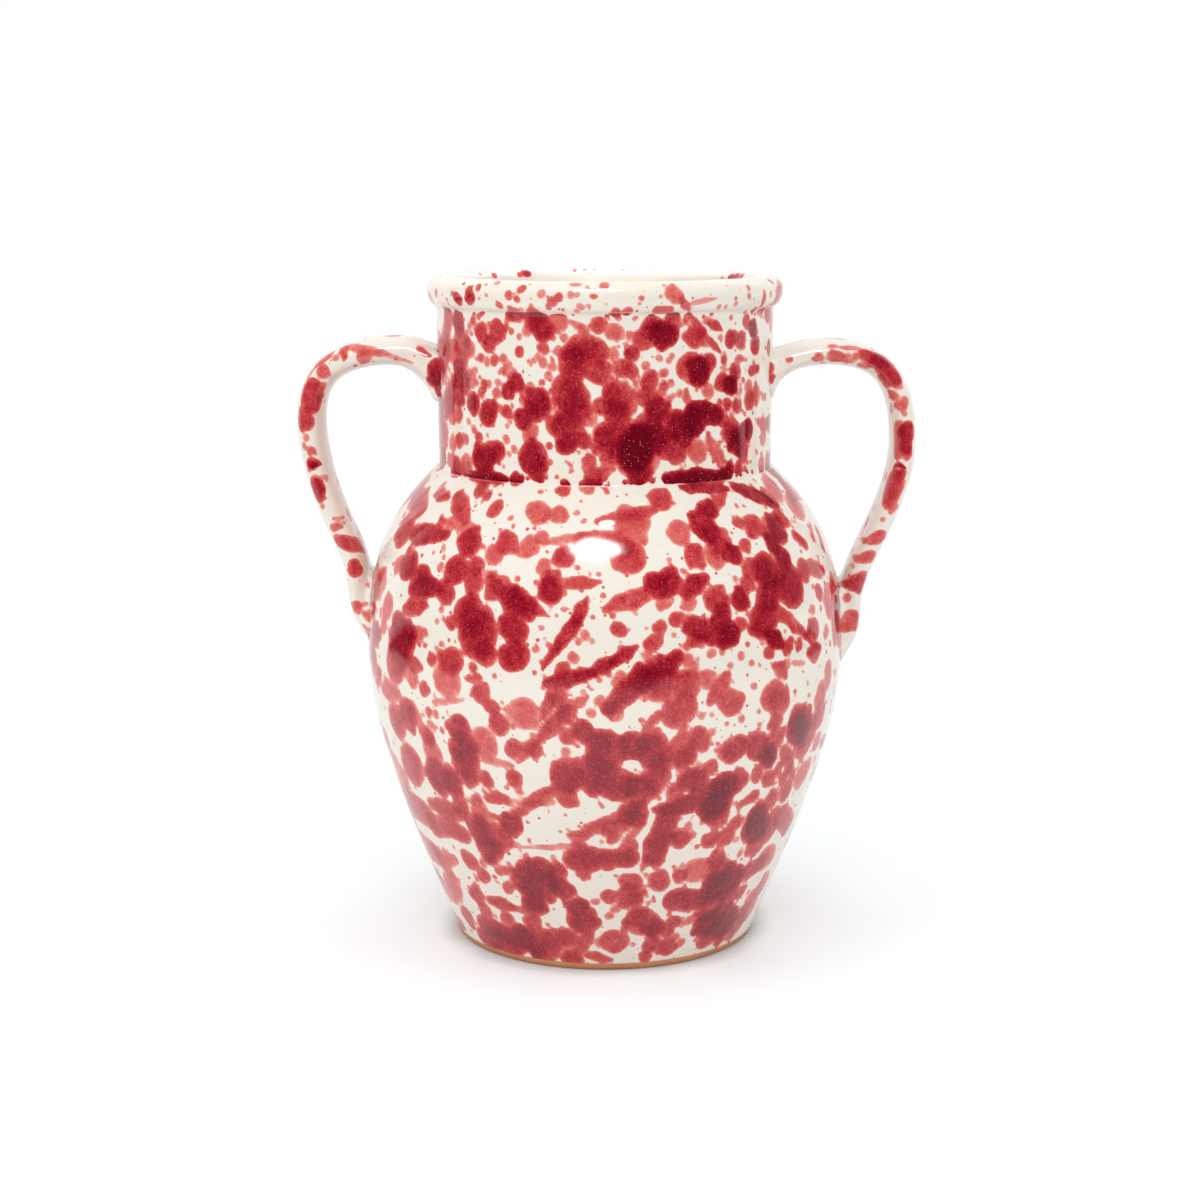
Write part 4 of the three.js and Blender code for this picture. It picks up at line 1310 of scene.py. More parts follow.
@dataclass
class WallShape:
    """Outer line of body, collar and rim, in millimetres."""

    foot_radius: float = 67.8
    foot_lean: float = 19.7
    foot_fullness: float = 26.0
    bare_band: float = 3.5
    belly_radius: float = 107.3
    belly_height: float = 130.2
    fullness_below: float = 42.5
    fullness_above: float = 30.6
    shoulder_slope: float = 42.9
    shoulder_fullness: float = 41.4
    body_height: float = 213.5
    neck_radius: float = 74.5
    neck_spread: float = 0.35
    neck_height: float = 73.7
    seam_step: float = 1.35
    seam_round: float = 0.5
    seam_lift: float = 1.6
    flare: float = 1.5
    flare_height: float = 2.6
    rim_height: float = 12.8
    rim_swell: float = 4.2
    crest_inset: float = 2.2
    swell_share: float = 0.53
    inner_drop: float = 3.6
    wall: float = 9.0

    @property
    def seat(self) -> float:
        """Height of the crease under the rim."""
        return self.body_height + self.neck_height

    @property
    def crease(self) -> float:
        """Height of the line that shows where the collar stands on the body."""
        return self.body_height + self.seam_lift

    @property
    def bore(self) -> float:
        """Radius inside the collar."""
        return self.neck_radius - self.wall

    def body_line(self, below: int, above: int) -> list[Point]:
        """Outer line of the body, from the foot to the seam.

        Args:
            below: Number of steps under the belly's widest line.
            above: Number of steps over it.

        Returns:
            The line's points.
        """
        foot = np.array([self.foot_radius, 0.0])
        belly = np.array([self.belly_radius, self.belly_height])
        seam = np.array([self.neck_radius + self.seam_step, self.crease - self.seam_round])
        up = np.array([0.0, 1.0])
        lower = cubic((foot, foot + heading(90 - self.foot_lean, self.foot_fullness),
                       belly - up * self.fullness_below, belly), below)
        arm = seam + heading(-self.shoulder_slope, -1) * -self.shoulder_fullness
        upper = cubic((belly, belly + up * self.fullness_above, arm, seam), above)
        return [p for p in lower if p[1] > self.bare_band + 0.4] + upper[1:]

    def ledge(self) -> list[Point]:
        """Rounded ledge of the body that shows at the seam.

        Returns:
            The line's points after the seam's own.
        """
        outer = self.neck_radius + self.seam_step
        start = (outer, self.crease - self.seam_round)
        return cubic((start, (outer - 0.35, self.crease - 0.15), (outer - 0.55, self.crease + 0.1),
                      (self.neck_radius + 0.4, self.crease - 0.25)), 9)[1:]

    def collar_line(self, rows: int) -> list[Point]:
        """Outer line of the collar, from the seam up to the crease under the rim.

        Args:
            rows: Number of steps of its straight wall.

        Returns:
            The line's points.
        """
        top = self.neck_radius + self.neck_spread
        bend = self.seat - self.flare_height
        root = (self.neck_radius + 0.6, self.crease - 0.2)
        rise = (self.neck_radius, self.crease + 2.2)
        groove = cubic((root, (root[0] - 0.3, root[1]), (rise[0], rise[1] - 1.4), rise), 8)
        low = straight(rise, (self.neck_radius, self.crease + 4), 7)
        wall = straight(low[-1], (top, bend), rows)
        flare = cubic(((top, bend), (top, bend + 1.2), (top + 0.5, self.seat - 0.6),
                       (top + self.flare, self.seat)), 8)
        return groove + low[1:] + wall[1:] + flare[1:]

    def rim_line(self, rows: int) -> list[Point]:
        """Outer line of the rim, from the crease over the roll and down into the bore.

        Args:
            rows: Number of steps of each of its three curves.

        Returns:
            The line's points.
        """
        top = self.neck_radius + self.neck_spread
        peak = self.seat + self.rim_height
        foot = np.array([top + self.flare, self.seat])
        wide = np.array([top + self.rim_swell, self.seat + self.rim_height * self.swell_share])
        crest = np.array([top - self.crest_inset, peak])
        inner = np.array([self.bore, peak - self.inner_drop])
        under = cubic((foot, foot + heading(30, (wide[0] - foot[0]) * 0.6),
                       wide - np.array([0, self.rim_height * 0.25]), wide), rows)
        over = cubic((wide, wide + np.array([0, (peak - wide[1]) * 0.6]),
                      crest + np.array([(wide[0] - crest[0]) * 0.57, 0]), crest), rows)
        inside = cubic((crest, crest - np.array([(crest[0] - inner[0]) * 0.5, 0]),
                        inner + np.array([0, self.inner_drop * 0.8]), inner), rows)
        return under + over[1:] + inside[1:]

    @cached_property
    def outline(self) -> np.ndarray:
        """Whole outer line from foot to rim, without the parts that turn back down.

        Returns:
            Radius and height of each point, rising.
        """
        rim = [p for p in self.rim_line(20) if p[0] > self.neck_radius - 2]
        line = np.array([(self.foot_radius, 0.0), *self.body_line(90, 90),
                         *self.collar_line(40), *rim])
        return line[np.maximum.accumulate(line[:, 1]) <= line[:, 1]]

    def radius_at(self, heights: np.ndarray) -> np.ndarray:
        """Outer radius at each height."""
        return np.interp(heights, self.outline[:, 1], self.outline[:, 0])


@dataclass
class Vessel:
    """Floor disc, thrown body, neck collar and rolled rim."""

    shape: WallShape
    splatter: Splatter
    steps: int = 448
    rim_steps: int = 416
    foot_steps: int = 192
    rows_below: int = 96
    rows_above: int = 78
    rows_collar: int = 58
    rows_rim: int = 15
    lining_rows: int = 16
    crowding: float = 0.34
    floor: float = 11.0
    plug_radius: float = 55.0
    heel: float = 9.0
    tongue_depth: float = 5.5
    tongue_wall: float = 3.5
    slip: float = 0.3
    key_height: float = 3.8
    key_width: float = 3.6
    key_inset: float = 2.7
    key_bevel: float = 0.5
    tongue_bevel: float = 0.7
    plug_bevel: float = 1.2
    foot_rings: tuple[float, ...] = (0, 22, 44, 60)
    foot_bevel: tuple[Point, ...] = ((65.6, 0), (66.3, 0.04), (66.9, 0.22), (67.5, 0.62))
    foot_side: tuple[float, ...] = (1.2, 2.2)
    under_glaze: float = 0.12
    glazed_foot: float = 64.0
    skin: float = 2.5
    lip_height: float = 8.0

    def crowd_front(self, piece: bpy.types.Object) -> None:
        """Slides the points round the axis, so that more of them lie at the front.

        Args:
            piece: A turned piece.
        """
        points = read_points(piece)
        radius = np.hypot(points[:, 0], points[:, 1])
        angle = np.arctan2(points[:, 0], -points[:, 1])
        angle = angle - self.crowding * np.sin(angle)
        points[:, 0] = radius * np.sin(angle)
        points[:, 1] = -radius * np.cos(angle)
        write_points(piece, points)

    def floor_disc(self) -> bpy.types.Object:
        """Foot of bare clay, with its bevel and the raised plug inside.

        Returns:
            The piece.
        """
        shape = self.shape
        lean = math.tan(math.radians(shape.foot_lean))
        side = shape.body_line(120, 2)[0]
        profile = [
            *((radius, 0) for radius in self.foot_rings), *self.foot_bevel,
            *((shape.foot_radius + height * lean, height) for height in self.foot_side),
            (side[0] - self.under_glaze, shape.bare_band), (self.plug_radius, shape.bare_band),
            (self.plug_radius, self.floor - self.plug_bevel),
            (self.plug_radius - self.plug_bevel, self.floor), (30, self.floor), (0, self.floor),
        ]
        return turn("foot_disc", profile, self.foot_steps)

    def body(self) -> bpy.types.Object:
        """The thrown body: outer wall, ledge, mouth rebate, lining and heel.

        Returns:
            The piece.
        """
        shape = self.shape
        outside = shape.body_line(self.rows_below, self.rows_above) + shape.ledge()
        mouth = shape.bore + self.tongue_wall + self.slip
        lining = inset(shape.body_line(self.lining_rows, self.lining_rows), shape.wall)[::-1]
        lining = [p for p in lining if p[1] > self.floor + self.heel and p[0] > shape.bore - 1]
        last = lining[-1]
        lean = math.tan(math.radians(shape.foot_lean))
        corner = (last[0] - (last[1] - self.floor) * lean, self.floor)
        heel = cubic((last, (last[0] - 3, last[1] - 6), (corner[0] - 1, corner[1]),
                      (self.plug_radius + self.slip, self.floor)), 8)[1:]
        first = (self.plug_radius + self.slip, shape.bare_band)
        side = (outside[0][0] - self.under_glaze, shape.bare_band)
        profile = [
            first, side, *outside, (mouth, shape.crease - 0.55),
            (mouth, shape.body_height - self.tongue_depth - self.slip), *lining, *heel, first,
        ]
        return turn("thrown_body", profile, self.steps)

    def collar(self) -> bpy.types.Object:
        """The neck collar, with its tongue in the body's mouth and its key under the rim.

        Returns:
            The piece.
        """
        shape = self.shape
        tongue = shape.bore + self.tongue_wall
        key = shape.bore + self.key_inset
        bottom = shape.body_height - self.tongue_depth
        top = shape.seat + self.key_height
        first = (shape.bore, bottom)
        outside = shape.collar_line(self.rows_collar)
        profile = [
            first, (tongue - self.tongue_bevel, bottom), (tongue, bottom + self.tongue_bevel),
            (tongue, shape.crease - 0.8), (tongue + 4, shape.crease - 0.6), *outside,
            (key + self.key_width, shape.seat), (key + self.key_width - self.key_bevel, top),
            (key + self.key_bevel, top), (key, shape.seat), (shape.bore, shape.seat),
            *straight((shape.bore, shape.seat), first, 10)[1:],
        ]
        return turn("thrown_collar", profile, self.steps)

    def rim(self) -> bpy.types.Object:
        """The rolled rim, with the groove that fits over the collar's key.

        Returns:
            The piece.
        """
        shape = self.shape
        key = shape.bore + self.key_inset
        top = shape.seat + self.key_height + self.slip
        roll = shape.rim_line(self.rows_rim)
        first = (shape.bore, shape.seat)
        profile = [
            first, (key - self.slip, shape.seat), (key - self.slip + self.key_bevel, top),
            (key + self.key_width + self.slip - self.key_bevel, top),
            (key + self.key_width + self.slip, shape.seat), *roll,
            *straight(roll[-1], first, 5)[1:],
        ]
        return turn("rolled_lip", profile, self.rim_steps)

    def build(self, glaze: bpy.types.Material, clay: bpy.types.Material) -> None:
        """Makes the four turned pieces and dresses them.

        Args:
            glaze: Material of the glazed pieces.
            clay: Material of the foot.
        """
        for make, node in ((self.body, "vessel_body"), (self.collar, "neck_collar"),
                           (self.rim, "rolled_rim")):
            piece = make()
            self.crowd_front(piece)
            self.splatter.coat_piece(piece, self.hidden)
            dress(piece, node, glaze)
        foot = self.floor_disc()
        self.splatter.coat_piece(
            foot, lambda points: np.hypot(points[:, 0], points[:, 1]) < self.glazed_foot)
        dress(foot, "floor_disc", clay)

    def hidden(self, points: np.ndarray) -> np.ndarray:
        """Finds the points inside the vase, which no throw reached.

        Args:
            points: Points of a turned piece.

        Returns:
            Whether each is one of them.
        """
        radius = np.hypot(points[:, 0], points[:, 1])
        outside = radius > self.shape.radius_at(points[:, 2]) - self.skin
        lip = (points[:, 2] > self.shape.seat + self.lip_height) & (radius > self.shape.bore - 1)
        return ~(outside | lip)


def dress(piece: bpy.types.Object, node: str, material: bpy.types.Material) -> None:
    """Gives a piece its material, and tells the frame what it stands for.

    Args:
        piece: The finished piece.
        node: Name of the CAD node that it replaces.
        material: Its material.
    """
    piece.data.materials.clear()
    piece.data.materials.append(material)
    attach(piece, "root")
    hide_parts(node)
    piece.data.calc_loop_triangles()
    log.info("%s: %d triangles", piece.name, len(piece.data.loop_triangles))


@dataclass
class StrapHandle:
    """A pulled strap handle, from the neck to the belly."""

    name: str
    side: int
    wall: WallShape
    root_height: float
    root_rise: float
    crest_reach: float
    crest_height: float
    bow_reach: float
    bow_height: float
    bow_tension: float
    leg_tension: float
    hip_reach: float
    hip_height: float
    hip_lean: float
    tail_reach: float
    tail_height: float
    tail_lean: float
    tail_tension: float
    thickness: float
    leg_thickness: float
    tail_thickness: float
    web_height: float
    web_length: float
    width: float = 29.0
    squareness: float = 2.5
    bury: float = 6.0
    root_spread: float = 3.0
    root_spread_length: float = 16.0
    tongue_length: float = 17.0
    tongue_blunt: float = 0.9
    sides: int = 72
    rings: tuple[int, int, int, int] = (24, 60, 48, 60)
    fillet: float = 3.8
    tail_fillet: float = 3.4
    web_depth: float = 2.2
    web_gain: float = 1.28
    web_lean: float = 0.13
    fillet_reach: float = 5.5
    closing: float = 11.0
    joined: float = 171.5
    reach: float = 1.5
    overlap: float = 0.4
    root_arm: float = 0.36
    ridge: tuple[float, float, float] = (0.55, 0.45, 0.22)
    ridge_from: float = 3.0
    inner_face: Point = (0.35, 0.6)
    drop_spread: float = 1.16
    drop_step: float = 2.0
    lobes: int = 3
    lobed_size: float = 2.2
    lobe_reach: Point = (0.6, 1.0)
    lobe_size: Point = (0.3, 0.6)
    scatter: tuple[tuple[int, float, float], ...] = ((130, 1.0, 3.6), (90, 3.0, 6.0))
    scatter_behind: float = -4.0

    def centre_line(self) -> tuple[np.ndarray, np.ndarray, np.ndarray, np.ndarray]:
        """Middle of the strap in its own plane.

        Returns:
            Its points, its direction at each, the stretch that each lies in and the share of
            that stretch that lies before it.
        """
        wall = self.wall
        root = np.array([wall.neck_radius - self.bury, wall.body_height + self.root_height])
        crest = np.array(
            [wall.neck_radius + self.crest_reach, wall.body_height + self.crest_height])
        bow = np.array([wall.neck_radius + self.bow_reach, wall.body_height + self.bow_height])
        hip = np.array([wall.belly_radius + self.hip_reach, wall.belly_height + self.hip_height])
        tail = np.array([wall.belly_radius + self.tail_reach, wall.belly_height + self.tail_height])
        hip_way = heading(180 + self.hip_lean, 1)
        tail_way = heading(180 + self.tail_lean, 1)
        root_arm = self.root_arm * np.linalg.norm(crest - root)
        leg_arm = self.leg_tension * np.linalg.norm(hip - bow)
        tail_arm = self.tail_tension * np.linalg.norm(tail - hip)
        out = np.array([1.0, 0.0])
        up = np.array([0.0, 1.0])
        arcs = (
            (root, root + heading(self.root_rise, root_arm), crest - out * root_arm, crest),
            (crest, crest + out * (bow[0] - crest[0]) * self.bow_tension,
             bow - up * (bow[1] - crest[1]) * self.bow_tension, bow),
            (bow, bow - up * leg_arm, hip - hip_way * leg_arm, hip),
            (hip, hip + hip_way * tail_arm, tail - tail_way * tail_arm, tail),
        )
        points, stretch, share = [], [], []
        for index, (arc, steps) in enumerate(zip(arcs, self.rings)):
            first = 0 if index == 0 else 1
            points += cubic(arc, steps)[first:]
            stretch += [index] * (steps + 1 - first)
            share += [i / steps for i in range(first, steps + 1)]
        points.append(tuple(tail + tail_way * self.bury))
        stretch.append(3)
        share.append(1.0)
        line = np.array(points)
        way = np.gradient(line, axis=0)
        way /= np.linalg.norm(way, axis=1)[:, None]
        return line, way, np.array(stretch), np.array(share)

    def build(self, node: str, splatter: Splatter, drops: Sequence[Throw],
              glaze: bpy.types.Material) -> None:
        """Pulls the strap, presses it to its section, glazes and dresses it.

        Args:
            node: Name of the CAD node that it replaces.
            splatter: Splatter for this handle.
            drops: Drops placed on its front.
            glaze: Its material.
        """
        line, way, stretch, share = self.centre_line()
        piece = self.pull(line)
        self.press(piece, line, way, stretch, share)
        self.splash(piece, splatter, drops)
        splatter.coat_piece(piece)
        dress(piece, node, glaze)

    def pull(self, line: np.ndarray) -> bpy.types.Object:
        """Extrudes a ring of clay along the strap's middle, ring by ring.

        Args:
            line: The middle of each ring.

        Returns:
            The strap, with round rings.
        """
        bpy.ops.object.select_all(action="DESELECT")
        start = (self.side * line[0][0] * MM, 0, line[0][1] * MM)
        bpy.ops.mesh.primitive_circle_add(
            vertices=self.sides, radius=self.thickness / 2 * MM, fill_type="NGON", location=start,
            rotation=(0, math.pi / 2 * self.side, 0))
        piece = bpy.context.object
        piece.name = piece.data.name = self.name
        bpy.ops.object.transform_apply(location=True, rotation=True, scale=True)
        bpy.ops.object.mode_set(mode="EDIT")
        bpy.ops.mesh.select_all(action="SELECT")
        for here, there in zip(line, line[1:]):
            step = (self.side * (there[0] - here[0]) * MM, 0, (there[1] - here[1]) * MM)
            bpy.ops.mesh.extrude_region_move(TRANSFORM_OT_translate={"value": step})
        bpy.ops.object.mode_set(mode="OBJECT")
        return piece

    def press(self, piece: bpy.types.Object, line: np.ndarray, way: np.ndarray,
              stretch: np.ndarray, share: np.ndarray) -> None:
        """Presses each ring to the strap's squared oval section.

        Args:
            piece: The strap, as a row of round rings in the order that they were pulled.
            line: Middle of each ring.
            way: Direction of the strap at each ring.
            stretch: Stretch of the strap that each ring lies in.
            share: Share of that stretch before it.
        """
        wall = self.wall
        near_neck = np.clip(line[:, 0] - wall.neck_radius + self.web_depth, 0, None)
        at_neck = stretch < 2
        thick = np.select(
            [stretch < 2, stretch == 2, stretch == 3],
            [self.thickness, self.thickness + (self.leg_thickness - self.thickness) * share,
             self.leg_thickness + (self.tail_thickness - self.leg_thickness) * share**2],
        ) / 2
        tip = wall.belly_height + self.tail_height - self.tail_thickness / 2
        tongue = np.clip(1 - np.clip(line[:, 1] - tip, 0, None) / self.tongue_length, 0,
                         self.tongue_blunt)
        half_width = self.width / 2 * np.sqrt(1 - tongue**2)
        half_width += at_neck * self.growth(near_neck, self.root_spread_length) * self.root_spread
        web_length = self.web_length + self.web_depth
        web = at_neck * self.growth(near_neck, web_length) * self.web_height * self.web_gain
        power = 2 / self.squareness
        around = np.arange(self.sides) / self.sides * math.tau
        lift = np.sign(np.sin(around)) * np.abs(np.sin(around)) ** power
        breadth = np.sign(np.cos(around)) * np.abs(np.cos(around)) ** power
        normal = np.stack([-way[:, 1], way[:, 0]], 1)
        height = np.where(lift[None, :] > 0, thick[:, None] * lift, (thick + web)[:, None] * lift)
        tall, place, narrow = self.ridge
        ridge = tall * np.exp(-(((breadth - place) / narrow) ** 2)) * (lift > 0)
        height = height + ridge[None, :] * (thick[:, None] > self.ridge_from)
        radial = line[:, :1] + normal[:, :1] * height
        radial -= web[:, None] * np.clip(-lift, 0, 1)[None, :] * self.web_lean
        level = line[:, 1:] + normal[:, 1:] * height
        depth = half_width[:, None] * breadth[None, :]
        points = np.stack([self.side * radial, depth, level], 2).reshape(-1, 3)
        turned, softness = self.inner_face
        inner = np.tile(np.clip((turned - lift) / softness, 0, 1), len(line))
        write_points(piece, self.blend_in(points, inner))
        select_only(piece)
        bpy.ops.object.mode_set(mode="EDIT")
        bpy.ops.mesh.select_all(action="SELECT")
        bpy.ops.mesh.normals_make_consistent(inside=False)
        bpy.ops.object.mode_set(mode="OBJECT")
        bpy.ops.object.shade_smooth()

    @staticmethod
    def growth(distance: np.ndarray, length: float) -> np.ndarray:
        """Quarter-round growth towards a root, from 0 to 1."""
        nearness = np.clip(1 - distance / length, 0, 1)
        return 1 - np.sqrt(1 - nearness * nearness)

    def blend_in(self, points: np.ndarray, inner: np.ndarray) -> np.ndarray:
        """Smooths the clay of the strap into the wall where it meets it.

        Args:
            points: Points of the strap.
            inner: How much each lies on the face towards the vase.

        Returns:
            The points, with the strap laid on the wall and spread along it.
        """
        points = points.copy()
        radius = np.hypot(points[:, 0], points[:, 1])
        over = radius - self.wall.radius_at(points[:, 2])
        low = smooth(np.clip(
            (self.joined + self.closing - points[:, 2]) / (1.3 * self.closing), 0, 1))
        apart = np.clip((over - self.reach) / self.reach, 0, 1)
        laid = low * inner * (over > 0) * (1 - smooth(apart))
        points[:, :2] *= (1 - laid * (over + self.overlap) / radius)[:, None]
        over -= laid * (over + self.overlap)
        close = np.clip(1 - np.abs(over) / self.fillet_reach, 0, 1) ** 2
        flare = close * (self.fillet + self.tail_fillet * low)
        kept = np.hypot(points[:, 0], points[:, 1])
        points[:, 1] += np.sign(points[:, 1]) * flare * np.clip(np.abs(points[:, 1]) / 5, 0, 1)
        points[:, :2] *= (kept / np.hypot(points[:, 0], points[:, 1]))[:, None]
        return points

    def splash(self, piece: bpy.types.Object, splatter: Splatter, drops: Sequence[Throw]) -> None:
        """Throws the placed drops and a scatter of others at the strap.

        Args:
            piece: The strap.
            splatter: Splatter to add to.
            drops: Placed drops.
        """
        points = read_points(piece)
        front = points[points[:, 1] < -3]
        random = splatter.random

        def on_front(across: float, height: float) -> np.ndarray:
            """Finds the nearest point of the strap's front edge.

            Args:
                across: Distance from the axis, seen from the front.
                height: Height.

            Returns:
                The point.
            """
            away = np.hypot(np.abs(front[:, 0]) - across, front[:, 2] - height)
            return front[np.argmin(away + (front[:, 1] + 15) * 0.05)]

        for x, z, to_x, to_z, head, tail, layers in map(both_ends, drops):
            patch = Patch(splatter.thinnest + layers * splatter.layer)
            count = max(1, math.ceil(math.hypot(to_x - x, to_z - z) / self.drop_step))
            shares = np.linspace(0, 1, count + 1)
            spots = [on_front(x + (to_x - x) * t, z + (to_z - z) * t) for t in shares]
            sizes = [(head + (tail - head) * t) * self.drop_spread for t in shares]
            for i in range(count):
                patch.add(spots[i], spots[i + 1], (sizes[i], sizes[i + 1]))
            for _ in range(self.lobes if max(sizes) > self.lobed_size else 0):
                place = random.randint(count + 1)
                way = random.uniform(0, math.tau)
                reach = sizes[place] * random.uniform(*self.lobe_reach)
                lobe = on_front(abs(spots[place][0]) + reach * math.cos(way),
                                spots[place][2] + reach * math.sin(way))
                size = sizes[place] * random.uniform(*self.lobe_size)
                patch.add(lobe, lobe, (size, size))
            splatter.patches.append(patch)
        for count, least, most in self.scatter:
            for _ in range(count):
                spot = points[random.randint(len(points))]
                size = random.uniform(least, most)
                if spot[1] < self.scatter_behind + size * 0.5:
                    continue
                way = random.normal(size=3)
                tail = spot + way / np.linalg.norm(way) * size * random.uniform(0, 1.2)
                coat = splatter.thinnest + random.choice([1, 2, 3]) * splatter.layer
                splatter.drop(spot, tail, (size, size * 0.75), coat)


# The studio


@dataclass(frozen=True)
class Lamp:
    """A soft lamp."""

    name: str
    place: Place
    target: Place
    size: Point
    watts: float
    mirrored: bool = False
    spread: float = math.pi

    def hang(self) -> None:
        """Hangs it: the glaze either only mirrors it or is only lit by it."""
        data = bpy.data.lights.new(self.name, "AREA")
        data.shape = "ELLIPSE" if self.mirrored else "RECTANGLE"
        data.size, data.size_y = self.size
        data.energy = self.watts
        data.spread = self.spread
        lamp = bpy.data.objects.new(self.name, data)
        bpy.context.scene.collection.objects.link(lamp)
        lamp.location = self.place
        way = Vector(self.target) - Vector(self.place)
        lamp.rotation_euler = way.to_track_quat("-Z", "Y").to_euler()
        lamp.visible_camera = False
        lamp.visible_glossy = self.mirrored
        lamp.visible_diffuse = not self.mirrored


@dataclass
class Studio:
    """Pale floor, soft light and the camera, in metres."""

    floor_size: float = 9.0
    table: Colour = (0.78, 0.78, 0.78, 1)
    table_seen: Colour = (0.74, 0.79, 0.793, 1)
    table_glow: float = 0.33
    # Ring round the foot where the floor loses its glow, a painted shadow on top of the real
    # contact shadow: where it starts and how wide it fades
    shade_from: float = 0.0665
    shade_fade: float = 0.012
    table_front: Point = (0.8, 0.03)
    table_back: Point = (0.45, 0.1)
    white_from: float = 0.3
    white_fade: float = 0.5
    sky_light: float = 0.5
    room_front: float = 0.06
    room: tuple[Point, ...] = ((0.0, 0.05), (0.45, 0.06), (0.72, 0.26), (0.775, 0.95), (1.0, 1.0))
    camera_place: Place = (-0.00224, -1.02704, 0.34242)
    camera_tilt: float = 0.1826
    lens: float = 68.73
    lamps: tuple[Lamp, ...] = (
        Lamp("overhead", (0.0, 0.1, 1.9), (0, 0, 0.1), (1.6, 1.6), 11.0),
        Lamp("left_wall", (-1.7, -0.7, 0.9), (0, 0, 0.15), (1.4, 1.6), 11.0),
        Lamp("right_wall", (1.7, -0.7, 0.9), (0, 0, 0.15), (1.4, 1.6), 7.3),
        Lamp("front_fill", (0.0, -2.2, 1.4), (0, 0, 0.15), (1.6, 1.2), 15.5),
        *(Lamp(f"softbox_{name}", (-0.07, -0.813, 1.122), (0, -0.093, 0.187), size, watts, True)
          for name, size, watts in (("core", (0.45, 0.28), 9.0), ("skirt", (0.51, 0.33), 3.4),
                                    ("halo", (0.58, 0.38), 1.2))),
        Lamp("mouth", (0.0, -0.42, 0.82), (0, 0.05, 0.275), (0.09, 0.05), 0.02, spread=0.21),
        Lamp("umbrella", (0.02, -0.54, 1.31), (0, -0.093, 0.198), (0.12, 0.07), 0.8, True),
    )

    def build(self) -> None:
        """Sets up the floor, the world, the lamps and the camera."""
        self.floor()
        self.world()
        for lamp in self.lamps:
            lamp.hang()
        self.camera()
        bpy.context.scene.view_settings.view_transform = "Standard"

    def floor(self) -> None:
        """Lays a wide white floor that runs out of sight."""
        bpy.ops.object.select_all(action="DESELECT")
        bpy.ops.mesh.primitive_plane_add(size=self.floor_size)
        floor = bpy.context.object
        floor.name = "floor"
        finish = Finish("white_floor")
        rays = finish.node("ShaderNodeLightPath", {}, {})
        mirrored = finish.wire(rays.outputs["Is Glossy Ray"])
        seen = finish.wire(rays.outputs["Is Camera Ray"]).sum("MAXIMUM", mirrored)
        away = finish.wire(finish.node("ShaderNodeVectorMath", {"operation": "LENGTH"}, {
            0: finish.place}).outputs["Value"])
        split = finish.node("ShaderNodeSeparateXYZ", {}, {0: finish.place})
        before = finish.wire(split.outputs[1]).below(*self.table_back)
        plain = finish.node("ShaderNodeBsdfDiffuse", {}, {"Color": self.table})
        neutral = finish.node("ShaderNodeBsdfDiffuse", {}, {"Color": self.table_seen})
        glow = finish.node("ShaderNodeEmission", {}, {"Strength": self.table_glow})
        lit = finish.node("ShaderNodeAddShader", {}, {0: neutral.outputs[0], 1: glow.outputs[0]})
        # Painted shadow on top of the real one: the glow fades out next to the foot, so the floor
        # there shows its lighting alone while the rest is brightened
        beyond = ((away - self.shade_from) / self.shade_fade).clamped()
        white = finish.node("ShaderNodeEmission", {}, {"Strength": 1.0})
        dark = finish.node("ShaderNodeEmission", {}, {"Strength": self.room_front})
        near = finish.mix(seen, plain, finish.mix(beyond, neutral, lit))
        far = ((away - self.white_from) / self.white_fade).clamped() * seen
        past_table = mirrored * (1.0 - away.below(*self.table_front)) * before
        finish.finish(finish.mix(past_table, finish.mix(far, near, white), dark))
        floor.data.materials.append(finish.material)

    def world(self) -> None:
        """White behind the vase, and a darker room in front of it for the glaze to mirror."""
        world = bpy.data.worlds.new("studio")
        bpy.context.scene.world = world
        world.use_nodes = True
        sky = Shades(world.node_tree, "ShaderNodeOutputWorld")
        way = sky.node("ShaderNodeTexCoord", {}, {}).outputs["Generated"]
        split = sky.node("ShaderNodeSeparateXYZ", {}, {0: way})
        grey = sky.ramp(sky.wire(split.outputs["Y"]) * 0.5 + 0.5, [
            (place, (shade, shade, shade, 1)) for place, shade in self.room])
        rays = sky.node("ShaderNodeLightPath", {}, {})
        plain, room, white = (
            sky.node("ShaderNodeBackground", {}, {"Color": colour, "Strength": strength})
            for colour, strength in (((1, 1, 1, 1), self.sky_light), (grey, 1.0),
                                     ((1, 1, 1, 1), 1.0)))
        lit = sky.mix(sky.wire(rays.outputs["Is Glossy Ray"]), plain, room)
        sky.finish(sky.mix(sky.wire(rays.outputs["Is Camera Ray"]), lit, white))

    def camera(self) -> None:
        """Places the camera at the photograph's angle."""
        data = bpy.data.cameras.new("camera")
        data.lens = self.lens
        data.sensor_width = 36
        data.clip_start = 0.01
        camera = bpy.data.objects.new("camera", data)
        bpy.context.scene.collection.objects.link(camera)
        camera.location = self.camera_place
        camera.rotation_euler = (math.pi / 2 - self.camera_tilt, 0, 0)
        bpy.context.scene.camera = camera


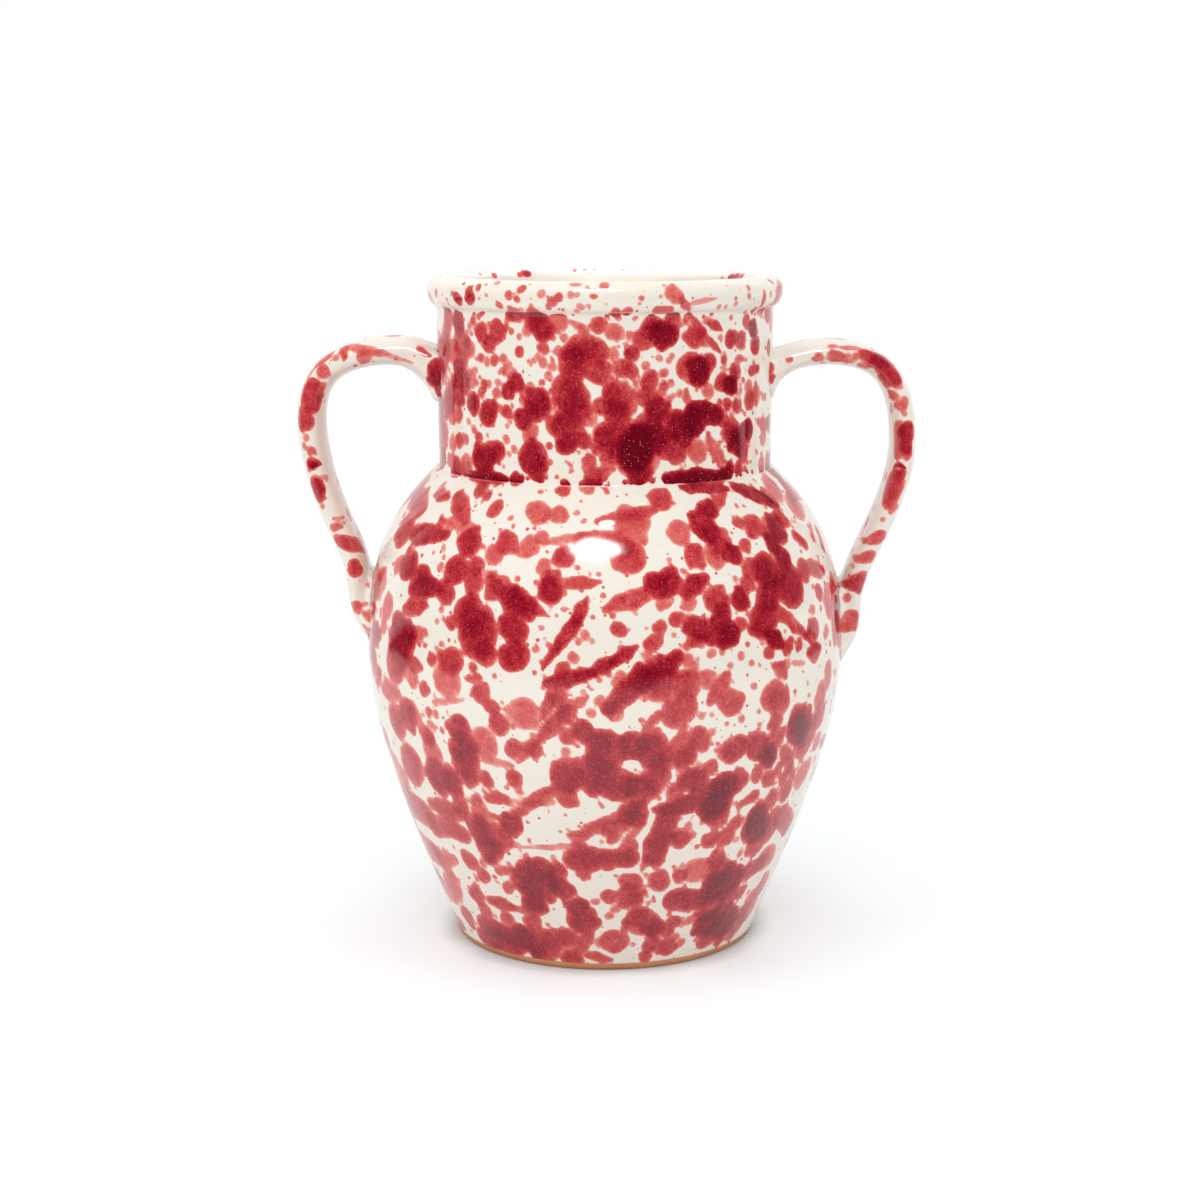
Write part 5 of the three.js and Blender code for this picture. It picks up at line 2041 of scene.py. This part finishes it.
def placed_splatter(shape: WallShape) -> Splatter:
    """Throws all the placed drops at the wall, then covers the sides and the back.

    Args:
        shape: The wall.

    Returns:
        The splatter of the turned pieces.
    """
    splatter = Splatter(shape.radius_at)
    for group in PLACED:
        for throw in group:
            splatter.throw(*both_ends(throw))
    for angle, radius, height, size, layers in LIP:
        turned = math.radians(angle)
        spot = np.array([radius * math.sin(turned), -radius * math.cos(turned), height])
        splatter.drop(spot, spot, (size, size), splatter.lip_coat + layers)
    for masses in MASSES:
        splatter.masses(*masses)
    for drops in SCATTER:
        splatter.scatter(*drops)
    return splatter


def main() -> None:
    """Builds the vase and its studio, in order."""
    shape = WallShape()
    glaze = Glaze().make("cream_and_red_glaze")
    clay = Clay().make("bare_terracotta")
    splatter = placed_splatter(shape)
    log.info("%d patches of glaze on the wall", len(splatter.patches))
    Vessel(shape, splatter).build(glaze, clay)
    left = StrapHandle(
        "strap_left", -1, shape, root_height=44.7, root_rise=19, crest_reach=17.4,
        crest_height=52.9, bow_reach=57, bow_height=22.3, bow_tension=0.69, leg_tension=0.335,
        hip_reach=9.3, hip_height=51, hip_lean=65, tail_reach=-2.7, tail_height=6.6, tail_lean=58,
        tail_tension=0.52, thickness=12.4, leg_thickness=11.1, tail_thickness=5.6, web_height=7.9,
        web_length=27.8,
    )
    right = StrapHandle(
        "strap_right", 1, shape, root_height=44.9, root_rise=18.5, crest_reach=25.2,
        crest_height=52.1, bow_reach=59.2, bow_height=12, bow_tension=0.7, leg_tension=0.34,
        hip_reach=8.2, hip_height=39.8, hip_lean=67, tail_reach=-1, tail_height=-2.2,
        tail_lean=61.5, tail_tension=0.55, thickness=11, leg_thickness=10.2, tail_thickness=4.2,
        web_height=7.3, web_length=12, joined=166,
    )
    left.build("handle_left", Splatter(shape.radius_at, 21), LEFT_HANDLE_DROPS, glaze)
    right.build("handle_right", Splatter(shape.radius_at, 33), RIGHT_HANDLE_DROPS, glaze)
    Studio().build()


if __name__ == "__main__":
    main()
